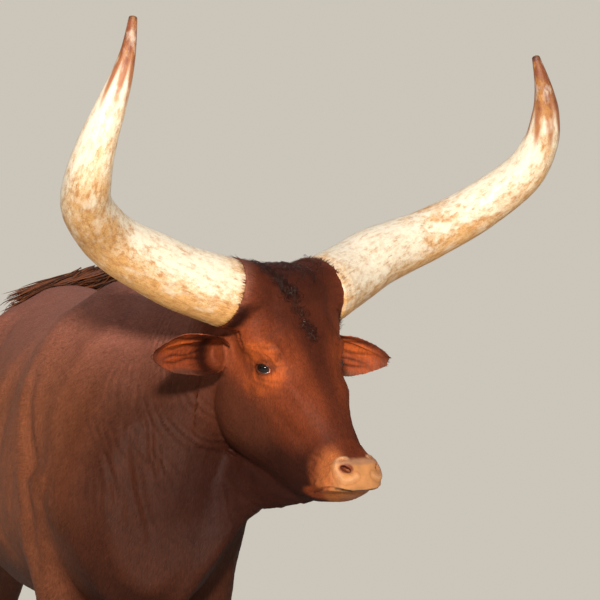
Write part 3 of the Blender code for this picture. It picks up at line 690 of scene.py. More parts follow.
@dataclass(frozen=True)
class HornFinish:
    """Ivory horn with ochre flecks, fine lengthwise cracks and stained tips."""

    ochre: tuple = (206, 152, 82)
    fleck: tuple = (176, 122, 66)
    speck: tuple = (120, 78, 42)
    pale: tuple = (238, 230, 214)
    crack: tuple = (112, 74, 44)
    clear: float = 0.62

    def material(self) -> bpy.types.Material:
        """The horn's material.

        Returns:
            The material.
        """
        sheet = NodeSheet("Horn")
        run = sheet.layer("Run").outputs["Vector"]
        base = sheet.layer("Markings").outputs["Color"]
        stain = sheet.layer("Stain").outputs["Fac"]
        broken = sheet.noise(sheet.scaled(run, (1.0, 1.0, 0.55)), 46.0, 8.0, 0.72)
        stained = sheet.math("ADD", stain, sheet.math("MULTIPLY", broken, 1.6))
        wash = sheet.ramp(sheet.math("SUBTRACT", stained, self.clear), ((0.34, 0.0), (0.78, 0.85)))
        colour = sheet.mix("MIX", wash, base, tone(*self.ochre))
        fleck = sheet.noise(sheet.scaled(run, (1.0, 1.0, 0.40)), 110.0, 6.0, 0.70)
        fleck = sheet.ramp(fleck, ((0.46, 0.0), (0.62, 0.9)))
        cloud = sheet.ramp(sheet.math("SUBTRACT", stained, self.clear), ((0.12, 0.22), (0.55, 0.95)))
        colour = sheet.mix("MIX", sheet.mix("MULTIPLY", 1.0, fleck, cloud), colour, tone(*self.fleck))
        speck = sheet.ramp(sheet.noise(run, 420.0, 3.0, 0.7), ((0.50, 0.0), (0.66, 0.55)))
        colour = sheet.mix("MIX", sheet.mix("MULTIPLY", 1.0, speck, cloud), colour, tone(*self.speck))
        pale = sheet.noise(sheet.scaled(run, (1.0, 1.0, 0.5)), 40.0, 4.0, 0.6)
        colour = sheet.mix("MIX", sheet.ramp(pale, ((0.52, 0.0), (0.70, 0.45))), colour, tone(*self.pale))
        crack = sheet.noise(sheet.scaled(run, (1.0, 1.0, 0.05)), 260.0, 3.0, 0.7)
        line = sheet.ramp(crack, ((0.66, 0.0), (0.70, 0.55)))
        colour = sheet.mix("MIX", line, colour, tone(*self.crack))
        sheet.wire(colour, sheet.shader.inputs["Base Color"])
        rough = sheet.ramp(fleck, ((0.0, 0.46), (1.0, 0.66)))
        sheet.wire(rough, sheet.shader.inputs["Roughness"])
        sheet.value("Specular IOR Level", 0.45)
        sheet.value("Subsurface Weight", 0.06)
        sheet.value("Subsurface Radius", (0.010, 0.006, 0.003))
        relief = sheet.bump(sheet.noise(sheet.scaled(run, (1.0, 1.0, 0.25)), 90.0, 5.0), 0.0012, 0.6)
        sheet.wire(sheet.bump(crack, 0.0006, 0.5, relief), sheet.shader.inputs["Normal"])
        return sheet.material


@dataclass(frozen=True)
class HoofFinish:
    """Dark ringed hoof with paler lengthwise scuffs."""

    scuff: tuple = (150, 128, 104)

    def material(self) -> bpy.types.Material:
        """The hoof's material.

        Returns:
            The material.
        """
        sheet = NodeSheet("Hoof")
        place = sheet.place()
        rings = sheet.noise(sheet.scaled(place, (0.12, 0.12, 1.0)), 210.0, 3.0)
        grain = sheet.noise(sheet.scaled(place, (1.0, 1.0, 0.10)), 420.0, 3.0)
        colour = sheet.mix("MULTIPLY", 1.0, sheet.layer("Markings").outputs["Color"],
                           sheet.ramp(rings, ((0.3, 0.70), (0.7, 1.30))))
        scuffs = sheet.ramp(grain, ((0.58, 0.0), (0.72, 0.35)))
        colour = sheet.mix("MIX", scuffs, colour, tone(*self.scuff))
        sheet.wire(colour, sheet.shader.inputs["Base Color"])
        sheet.wire(sheet.ramp(grain, ((0.3, 0.42), (0.7, 0.62))), sheet.shader.inputs["Roughness"])
        relief = sheet.bump(rings, 0.0014, 0.6)
        sheet.wire(sheet.bump(grain, 0.0005, 0.5, relief), sheet.shader.inputs["Normal"])
        return sheet.material


@dataclass(frozen=True)
class WetFinish:
    """Wet surfaces: the eyeball, the lids' rims and the pink corner of the eye."""

    name: str
    rough: float
    coat: float
    smoothest_uneven: float = 0.2

    def material(self) -> bpy.types.Material:
        """The wet material.

        Returns:
            The material.
        """
        sheet = NodeSheet(self.name)
        grain = sheet.noise(sheet.place(), 800.0, 3.0)
        colour = sheet.mix("MULTIPLY", 1.0, sheet.layer("Markings").outputs["Color"],
                           sheet.ramp(grain, ((0.3, 0.86), (0.7, 1.14))))
        sheet.wire(colour, sheet.shader.inputs["Base Color"])
        sheet.value("Roughness", self.rough)
        sheet.value("Specular IOR Level", 0.28 if self.coat == 0.0 else 0.5)
        sheet.value("Coat Weight", self.coat)
        sheet.value("Coat Roughness", 0.03)
        if self.rough > self.smoothest_uneven:
            sheet.wire(sheet.bump(grain, 0.0003, 0.4), sheet.shader.inputs["Normal"])
        return sheet.material


@dataclass(frozen=True)
class FloorFinish:
    """Plain pale studio floor."""

    def material(self) -> bpy.types.Material:
        """The floor's material.

        Returns:
            The material.
        """
        sheet = NodeSheet("Studio floor")
        tint = sheet.noise(sheet.place(), 0.8, 2.0)
        colour = sheet.ramp(tint, ((0.3, (0.72, 0.69, 0.63)), (0.7, (0.76, 0.73, 0.67))))
        sheet.wire(colour, sheet.shader.inputs["Base Color"])
        sheet.value("Roughness", 0.85)
        return sheet.material


class Paint:
    """Colours at points, each laid over what is there."""

    def __init__(self, count: int, ground: tuple) -> None:
        """Start with one colour all over.

        Args:
            count: How many points there are.
            ground: The colour.
        """
        self.colours = np.tile(tone(*ground), (count, 1))

    def lay(self, mask: np.ndarray, colour: tuple) -> None:
        """Lay a colour over the points by a mask from 0 to 1."""
        self.colours = self.colours + np.clip(mask, 0.0, 1.0)[:, None] * (tone(*colour) - self.colours)


class HidePaint(Paint):
    """Colours of the hide, with the places that its patches are measured from."""

    def __init__(self, points: np.ndarray, normals: np.ndarray, ground: tuple) -> None:
        """Work out each point's place on the head.

        Args:
            points: Rows of points in the row frame.
            normals: The surface's direction at each.
            ground: Colour of the trunk.
        """
        super().__init__(len(points), ground)
        self.points = np.asarray(points, float)
        self.normals = normals
        self.place = HEAD.local(points)
        self.mirrored = np.column_stack((np.abs(self.place[:, 0]), self.place[:, 1], self.place[:, 2]))
        wave = 2.0 * np.sin(self.mirrored[:, 2] * 170.0)
        self.uneven = 0.75 + 0.25 * np.sin(self.mirrored @ np.array((310.0, 190.0, 240.0)) + wave)

    def spot(self, centre: tuple, radii: tuple, soft: float, share: float, colour: tuple,
             uneven: bool = False) -> None:
        """Lay a soft spot on both sides of the head.

        Args:
            centre: Its middle in head axes, on the left side.
            radii: Its three radii.
            soft: Width of its soft edge, as a share of the radii.
            share: How strong it is.
            colour: Its colour.
            uneven: True where the colour is broken up.
        """
        mask = blob(self.mirrored, centre, radii, soft) * share
        self.lay(mask * self.uneven if uneven else mask, colour)

    def region(self, centre: tuple, radii: tuple, soft: float, share: float, colour: tuple) -> None:
        """Lay a soft patch on the body, with its middle in the row frame."""
        self.lay(blob(self.points, centre, radii, soft) * share, colour)


@dataclass(frozen=True)
class Markings:
    """Colours of the coat and skin, by place on the animal, with painted shade and a painted sheen in places.
    """

    head: tuple = (107, 50, 30)
    trunk: tuple = (124, 73, 49)
    # back: a pale purplish painted sheen, standing for the sky's reflection on the back's top
    back: tuple = (164, 104, 90)
    # chest: painted shade over the brisket
    chest_shade: tuple = (46, 18, 9)
    # Dark coat on the poll, forehead, legs and ears, and painted shade under the jaw, throat and body and
    # round the eyes
    dark_coat_and_shade: tuple = (38, 15, 10)
    copper: tuple = (148, 68, 32)
    orange: tuple = (196, 94, 38)
    pad: tuple = (186, 128, 80)
    rim: tuple = (204, 154, 114)
    floor: tuple = (104, 46, 34)
    slate: tuple = (112, 90, 88)
    lip: tuple = (136, 80, 40)
    mouth: tuple = (28, 12, 9)
    ear: tuple = (172, 74, 28)
    cheek: tuple = (128, 72, 48)
    shoulder: tuple = (132, 76, 50)
    muzzle: tuple = (152, 78, 44)
    pale_muzzle: tuple = (190, 112, 62)
    nostril_line: tuple = ((0.030, 0.238, -0.334), (0.049, 0.229, -0.336), (0.059, 0.233, -0.350),
                           (0.061, 0.242, -0.366), (0.053, 0.252, -0.378), (0.038, 0.258, -0.377),
                           (0.024, 0.258, -0.371))
    mouth_line: tuple = ((0.050, 0.160, -0.409), (0.068, 0.207, -0.398), (0.067, 0.228, -0.396),
                         (0.055, 0.246, -0.398), (0.028, 0.252, -0.402), (0.0, 0.254, -0.403))
    jaw_line: tuple = ((0.066, -0.085, -0.345), (0.054, -0.035, -0.385), (0.044, 0.010, -0.408),
                       (0.034, 0.075, -0.430), (0.040, 0.130, -0.428))
    wet_line: tuple = ((-0.072, 0.030, 0.056), (-0.064, 0.060, 0.040), (-0.054, 0.080, 0.012),
                       (-0.036, 0.088, -0.014), (-0.014, 0.092, -0.044), (0.0, 0.104, -0.078))

    def bare(self, points: np.ndarray) -> np.ndarray:
        """How bare the skin is: one on the muzzle's pad and the lids' rims.

        Args:
            points: Rows of points.

        Returns:
            A share from 0 to 1 for each.
        """
        place = HEAD.local(points)
        left, forward, up = np.abs(place[:, 0]), place[:, 1], place[:, 2]
        side = ease((0.063 - left) / 0.018 + 0.5)
        top = ease((-0.338 - 0.10 * np.maximum(left - 0.03, 0.0) - up) / 0.010 + 0.5)
        front = ease((forward - 0.222) / 0.014 + 0.5)
        low = ease((up + 0.404) / 0.006 + 0.5)
        pad = side * top * front * low
        below = ease((-0.404 - up) / 0.008) * ease((forward - 0.212) / 0.02)
        lip = ease((0.062 - left) / 0.014 + 0.5) * below
        eyes = blob(np.column_stack((left, forward, up)), (0.106, 0.076, -0.153), (0.008, 0.015, 0.009), 0.4)
        return np.clip(np.maximum(np.maximum(pad, lip), eyes * 0.5), 0.0, 1.0)

    def colours(self, points: np.ndarray, normals: np.ndarray) -> np.ndarray:
        """Colour at each point.

        Args:
            points: Rows of points in the row frame.
            normals: The surface's direction at each.

        Returns:
            Rows of linear colours.
        """
        hide = HidePaint(points, normals, self.trunk)
        self.broad(hide)
        self.shades(hide)
        self.round_eyes(hide)
        self.round_mouth(hide)
        self.ears(hide)
        self.pad_and_lips(hide)
        return hide.colours

    def broad(self, hide: HidePaint) -> None:
        """Head, legs, the back's top with a painted sheen, and the underside with painted shade.

        Args:
            hide: The colours so far.
        """
        heights = hide.points[:, 2]
        on_head = blob(hide.mirrored, HEAD_MIDDLE, (0.17, 0.21, 0.27), 0.35)
        hide.lay(on_head, self.head)
        # Painted sheen: the back's top is laid paler and purplish with height
        hide.lay(ease((heights - 1.10) / 0.22) * (1.0 - on_head) * 0.7, self.back)
        hide.lay(ease((0.62 - heights) / 0.5) * 0.45, self.dark_coat_and_shade)
        # Painted shade: every surface facing down, except at the muzzle's front, is darkened
        facing_down = ease((-hide.normals[:, 2] - 0.02) / 0.7)
        hide.lay(facing_down * ease((0.30 - hide.place[:, 1]) / 0.20) * 0.72, self.dark_coat_and_shade)

    def shades(self, hide: HidePaint) -> None:
        """Painted shade under the throat, jaw and brisket, and darker and redder coat on the poll, forehead
        and cheeks.

        Args:
            hide: The colours so far.
        """
        # Painted shade under the throat and the jaw
        hide.spot((0.0, 0.02, -0.44), (0.14, 0.18, 0.070), 0.9, 0.80, self.dark_coat_and_shade)
        hide.spot((0.07, 0.00, -0.375), (0.05, 0.14, 0.045), 1.2, 0.82, self.dark_coat_and_shade)
        # Painted shade over the brisket below the neck
        hide.region((0.62, -0.18, 0.84), (0.30, 0.28, 0.28), 1.2, 0.90, self.chest_shade)
        hide.spot((0.0, 0.00, 0.05), (0.100, 0.085, 0.050), 1.2, 0.50, self.dark_coat_and_shade)
        hide.spot((0.0, 0.07, -0.06), (0.065, 0.070, 0.090), 1.4, 0.42, self.dark_coat_and_shade)
        hide.spot((0.120, 0.000, -0.095), (0.040, 0.050, 0.050), 1.2, 0.45, self.copper)
        hide.spot((0.100, -0.020, -0.220), (0.050, 0.070, 0.080), 1.2, 0.15, self.cheek)
        hide.region((0.30, -0.50, 1.02), (0.16, 0.12, 0.20), 1.2, 0.45, self.shoulder)
        hide.spot((0.040, 0.080, -0.060), (0.060, 0.070, 0.100), 1.2, 0.25, self.dark_coat_and_shade)
        # Painted shade on the throat below the jaw
        hide.spot((0.0, -0.03, -0.48), (0.13, 0.17, 0.08), 1.6, 0.45, self.dark_coat_and_shade)
        # Painted shade along the crease under the jaw's lower edge
        line, _ = distance_to_line(hide.mirrored, curve_through(self.jaw_line, 25))
        hide.lay(ease((0.030 - line) / 0.026) * 0.78, self.dark_coat_and_shade)
        line, _ = distance_to_line(hide.place, curve_through(self.wet_line, 20))
        hide.lay(ease((0.022 - line) / 0.022) * 0.30, self.dark_coat_and_shade)
        hide.spot((0.07, 0.14, -0.20), (0.030, 0.060, 0.070), 1.2, 0.25, self.copper)

    def round_eyes(self, hide: HidePaint) -> None:
        """The copper and orange coat round the eyes, with painted shade round each eye's lids and in the
        crease behind it.

        Args:
            hide: The colours so far.
        """
        hide.spot((0.106, 0.074, -0.144), (0.038, 0.042, 0.044), 1.6, 0.34, self.copper, True)
        hide.spot((0.116, 0.068, -0.126), (0.017, 0.025, 0.018), 1.2, 0.50, self.orange, True)
        hide.spot((0.098, 0.092, -0.160), (0.014, 0.018, 0.018), 1.2, 0.36, self.orange, True)
        hide.spot((0.106, 0.062, -0.184), (0.022, 0.030, 0.016), 1.2, 0.25, self.orange, True)
        # Painted shade round the lids, standing for the upper lid's shadow
        hide.spot((0.109, 0.074, -0.153), (0.020, 0.022, 0.014), 0.5, 0.55, self.dark_coat_and_shade)
        # Painted shade in the upright crease behind the eye
        hide.spot((0.114, 0.030, -0.138), (0.016, 0.013, 0.028), 0.8, 0.25, self.dark_coat_and_shade)

    def round_mouth(self, hide: HidePaint) -> None:
        """The paler coat beside the pad, the mouth's corner and the lower lip.

        Args:
            hide: The colours so far.
        """
        hide.spot((0.066, 0.200, -0.368), (0.021, 0.025, 0.034), 1.3, 0.62, self.muzzle, True)
        hide.spot((0.064, 0.216, -0.366), (0.020, 0.018, 0.034), 1.5, 0.45, self.pale_muzzle)
        hide.spot((0.0, 0.225, -0.318), (0.060, 0.030, 0.016), 0.8, 0.10, self.copper)
        hide.spot((0.045, 0.175, -0.408), (0.028, 0.036, 0.012), 0.7, 0.45, self.copper)
        hide.spot((0.0, 0.225, -0.418), (0.062, 0.040, 0.018), 0.5, 0.9, self.lip)

    def ears(self, hide: HidePaint) -> None:
        """The ears: orange inside, with dark lengthwise rows, a dark root and a darker tip.

        Args:
            hide: The colours so far.
        """
        place = hide.place
        along = EAR.along(place)
        level = ease((0.10 - np.abs(place[:, 2] - EAR.level)) / 0.03)
        ears = ease((hide.mirrored[:, 0] - 0.128) / 0.03) * level * EAR.beside(place)
        facing = (HEAD.matrix() @ hide.normals.T)[1]
        inside = ears * ease((facing - 0.15) / 0.35)
        across = (place[:, 2] - EAR.level_at(place)) / 0.045
        flat = np.column_stack((along, across + 0.10 * np.sin(along * 9.0), np.zeros(len(along))))
        middle = blob(flat, (0.58, 0.05, 0.0), (0.27, 0.46, 1.0), 1.2)
        hide.lay(inside * middle * 0.72 * hide.uneven, self.ear)
        hide.lay(inside * blob(flat, (0.42, -0.62, 0.0), (0.30, 0.22, 1.0), 1.0) * 0.35, self.ear)
        hide.lay(inside * blob(flat, (0.62, 0.26, 0.0), (0.14, 0.20, 1.0), 1.2) * 0.60, self.orange)
        for row, tilt in ((0.52, 0.10), (0.20, -0.06), (-0.12, -0.20), (-0.42, -0.10)):
            line = across - row - tilt * along - 0.05 * np.sin(along * 14.0 + row * 9.0)
            hide.lay(inside * np.exp(-(line / 0.075) ** 2) * ease((0.95 - along) / 0.3) * 0.70, self.dark_coat_and_shade)
        hide.lay(inside * ease((0.40 - along) / 0.22) * 0.88, self.dark_coat_and_shade)
        hide.lay(inside * ease((along - 0.84) / 0.14) * 0.45, self.dark_coat_and_shade)
        hide.lay(ears * ease((0.26 - along) / 0.16) * ease((facing + 0.2) / 0.4) * 0.75, self.dark_coat_and_shade)

    def pad_and_lips(self, hide: HidePaint) -> None:
        """The bare pad with its nostrils and grey top, painted shade round the nostrils and on the pad's far
        side, and the mouth's line painted as shade.

        Args:
            hide: The colours so far.
        """
        place, mirrored = hide.place, hide.mirrored
        muzzle = self.bare(hide.points) * ease((mirrored[:, 1] - 0.19) / 0.02)
        hide.lay(muzzle * ease((mirrored[:, 2] + 0.405) / 0.006), self.pad)
        line, _ = distance_to_line(mirrored, curve_through(self.nostril_line, 25))
        hide.lay(ease((0.0075 - line) / 0.006) * ease((mirrored[:, 1] - 0.2) / 0.02) * 0.55, self.rim)
        near = ease((0.02 - place[:, 0]) / 0.02)
        hollow = blob(mirrored, (0.043, 0.243, -0.356), (0.013, 0.016, 0.009), 0.5)
        hide.lay(hollow * (0.2 + 0.7 * near), self.floor)
        # Painted shade: a darker ring round the nostril's rim
        hide.lay(ease((0.013 - line) / 0.004) * ease((line - 0.007) / 0.004) * muzzle * 0.35, self.floor)
        hide.lay(muzzle * blob(mirrored, (0.0, 0.245, -0.338), (0.060, 0.03, 0.008), 0.8) * 0.45, self.slate)
        # Painted shade: slate grey over the pad's far side only
        far = ease((0.008 + place[:, 0]) / 0.016)
        hide.lay(muzzle * ease((mirrored[:, 0] - 0.046) / 0.02) * far * 0.55, self.slate)
        # Painted shade: a near-black line along the crease where the lips meet
        line, _ = distance_to_line(mirrored, curve_through(self.mouth_line, 25))
        hide.lay(ease((0.0046 - line) / 0.0030), self.mouth)


MARKINGS = Markings()


@dataclass(frozen=True)
class Fold:
    """A crease or a raised line in the skin, tapering to both ends."""

    line: tuple
    width: float
    depth: float
    ridge: float = 0.0
    on_head: bool = True
    both: bool = True

    def sides(self) -> list[np.ndarray]:
        """The fold's lines in the row frame, one for each side that has it.

        Returns:
            Rows of points for each line.
        """
        lines = [np.array(self.line, float)]
        if self.both:
            mirror = (-1.0, 1.0, 1.0) if self.on_head else (1.0, -1.0, 1.0)
            lines.append(lines[0] * np.array(mirror))
        if self.on_head:
            return [HEAD.at(line) for line in lines]
        middle = np.array((0.0, MIDDLE, 0.0))
        return [line + middle for line in lines]

    def press(self, points: np.ndarray, normals: np.ndarray) -> np.ndarray:
        """The points with the fold pressed in.

        Args:
            points: Rows of points.
            normals: The surface's direction at each.

        Returns:
            The moved points.
        """
        moved = points.copy()
        for line in self.sides():
            line = curve_through(line, 8 * (len(line) - 1) + 1)
            reach = 4.0 * self.width
            near = np.all((points > line.min(0) - reach) & (points < line.max(0) + reach), axis=1)
            away, share = distance_to_line(points[near], line)
            taper = np.sin(math.pi * np.clip(share, 0.0, 1.0)) ** 0.6
            groove = -self.depth * np.exp(-(away / self.width) ** 2)
            raised = self.ridge * np.exp(-((away - 1.9 * self.width) / self.width) ** 2)
            moved[near] += normals[near] * ((groove + raised) * taper)[:, None]
        return moved


FACE_FOLDS = (
    Fold(((0.118, 0.070, -0.116), (0.113, 0.080, -0.128), (0.107, 0.088, -0.135),
          (0.101, 0.091, -0.146), (0.097, 0.097, -0.153)), 0.0024, 0.0026, 0.0012),
    Fold(((0.115, 0.073, -0.131), (0.109, 0.084, -0.136), (0.103, 0.088, -0.146),
          (0.100, 0.092, -0.157), (0.097, 0.096, -0.168)), 0.0020, 0.0028, 0.0012),
    Fold(((0.124, 0.058, -0.097), (0.111, 0.078, -0.100), (0.099, 0.097, -0.107),
          (0.090, 0.105, -0.121), (0.079, 0.112, -0.136), (0.072, 0.116, -0.148)), 0.0060, -0.0036),
    Fold(((0.121, 0.058, -0.107), (0.112, 0.078, -0.110), (0.102, 0.092, -0.118),
          (0.093, 0.101, -0.131), (0.084, 0.107, -0.144)), 0.0026, 0.0026, 0.0008),
    Fold(((0.108, 0.042, -0.163), (0.108, 0.050, -0.176), (0.107, 0.062, -0.186),
          (0.100, 0.080, -0.190)), 0.0026, 0.0010, 0.0004),
    Fold(((0.108, 0.032, -0.170), (0.108, 0.046, -0.188), (0.105, 0.064, -0.201)), 0.0028, 0.0007, 0.0003),
    Fold(((0.115, 0.036, -0.124), (0.110, 0.032, -0.145), (0.108, 0.033, -0.162)), 0.0040, 0.0012, 0.0004),
    Fold(((0.060, -0.070, -0.350), (0.044, 0.000, -0.396), (0.030, 0.075, -0.424)), 0.0085, 0.0034, 0.0010),
    Fold(((0.090, 0.080, -0.232), (0.084, 0.098, -0.262), (0.072, 0.125, -0.290),
          (0.060, 0.155, -0.330)), 0.0160, 0.0026, 0.0),
    Fold(((0.086, 0.108, -0.172), (0.078, 0.126, -0.196), (0.071, 0.143, -0.219),
          (0.062, 0.158, -0.258)), 0.0120, -0.0030),
    Fold(((0.054, 0.142, -0.400), (0.068, 0.164, -0.392), (0.072, 0.186, -0.372)), 0.0045, 0.0026, 0.0010),
    Fold(((0.044, 0.140, -0.414), (0.060, 0.178, -0.404), (0.068, 0.207, -0.398),
          (0.067, 0.228, -0.396), (0.055, 0.246, -0.398), (0.028, 0.252, -0.402),
          (0.0, 0.254, -0.403)), 0.0026, 0.0034, 0.0014),
    Fold(((0.026, 0.240, -0.333), (0.038, 0.234, -0.333), (0.050, 0.229, -0.337),
          (0.059, 0.233, -0.350), (0.061, 0.242, -0.366), (0.053, 0.252, -0.378),
          (0.038, 0.258, -0.377), (0.020, 0.258, -0.369)), 0.0036, -0.0038),
    Fold(((0.066, 0.214, -0.338), (0.068, 0.224, -0.354), (0.070, 0.232, -0.374),
          (0.064, 0.242, -0.388)), 0.0024, 0.0022, 0.0008),
    Fold(((0.0, 0.262, -0.342), (0.0, 0.266, -0.372), (0.0, 0.264, -0.400)),
         0.0022, 0.0016, 0.0006, True, False),
    Fold(((0.030, 0.214, -0.428), (0.040, 0.232, -0.424), (0.046, 0.214, -0.430)), 0.0020, 0.0010),
    Fold(((0.118, -0.060, -0.070), (0.124, -0.028, -0.100), (0.120, -0.020, -0.140),
          (0.112, -0.044, -0.170)), 0.0050, 0.0035, 0.0016),
    Fold(((0.126, -0.052, -0.080), (0.130, -0.030, -0.104), (0.128, -0.028, -0.132)), 0.0030, 0.0022, 0.0010),
    Fold(((-0.150, -0.048, -0.100), (-0.207, -0.041, -0.102), (-0.272, -0.026, -0.105),
          (-0.312, -0.016, -0.114)), 0.0030, -0.0028, 0.0, True, False),
    Fold(((-0.150, -0.062, -0.127), (-0.193, -0.055, -0.130), (-0.260, -0.039, -0.134),
          (-0.312, -0.020, -0.140)), 0.0030, -0.0026, 0.0, True, False),
    Fold(((-0.147, -0.059, -0.146), (-0.202, -0.047, -0.152), (-0.252, -0.033, -0.156)),
         0.0030, -0.0024, 0.0, True, False),
    Fold(((0.150, -0.048, -0.104), (0.210, -0.034, -0.110), (0.247, -0.024, -0.117),
          (0.309, -0.013, -0.141), (0.328, -0.009, -0.152)), 0.0030, -0.0028, 0.0, True, False),
    Fold(((0.150, -0.060, -0.128), (0.215, -0.046, -0.133), (0.259, -0.036, -0.139),
          (0.320, -0.016, -0.168)), 0.0030, -0.0026, 0.0, True, False),
)

BODY_FOLDS = (
    Fold(((-0.196, -0.232, -0.283), (-0.193, -0.220, -0.368), (-0.185, -0.213, -0.429),
          (-0.173, -0.205, -0.484), (-0.166, -0.201, -0.537)), 0.0085, 0.0046, 0.0020, True, False),
    Fold(((-0.170, -0.210, -0.250), (-0.168, -0.200, -0.325), (-0.169, -0.200, -0.400)),
         0.0055, 0.0022, 0.0010, True, False),
    Fold(((-0.160, -0.190, -0.310), (-0.156, -0.183, -0.389), (-0.150, -0.180, -0.430)),
         0.0050, 0.0020, 0.0008, True, False),
    Fold(((-0.238, -0.275, -0.330), (-0.231, -0.246, -0.410), (-0.226, -0.241, -0.470)),
         0.0065, 0.0045, 0.0018, True, False),
    Fold(((-0.205, -0.250, -0.240), (-0.208, -0.240, -0.330), (-0.200, -0.232, -0.400)),
         0.0050, 0.0028, 0.0012, True, False),
    Fold(((0.225, -0.098, 1.233), (0.283, -0.218, 1.165), (0.329, -0.230, 1.069),
          (0.400, -0.236, 0.925), (0.372, -0.226, 0.829), (0.360, -0.200, 0.736)),
         0.0220, 0.0075, 0.0030, False),
    Fold(((0.06, -0.215, 1.20), (0.02, -0.262, 1.05), (0.05, -0.262, 0.92), (0.12, -0.225, 0.80)),
         0.0260, 0.0060, 0.0030, False),
    Fold(((-0.52, -0.200, 0.80), (-0.60, -0.210, 0.74), (-0.68, -0.190, 0.71)),
         0.0160, 0.0080, 0.0040, False),
    Fold(((-0.78, -0.215, 1.05), (-0.80, -0.235, 0.95), (-0.76, -0.235, 0.85)),
         0.0280, 0.0050, 0.0020, False),
    Fold(((0.12, -0.10, 0.72), (0.20, -0.13, 0.70), (0.28, -0.14, 0.74)), 0.0120, 0.0050, 0.0020, False),
)


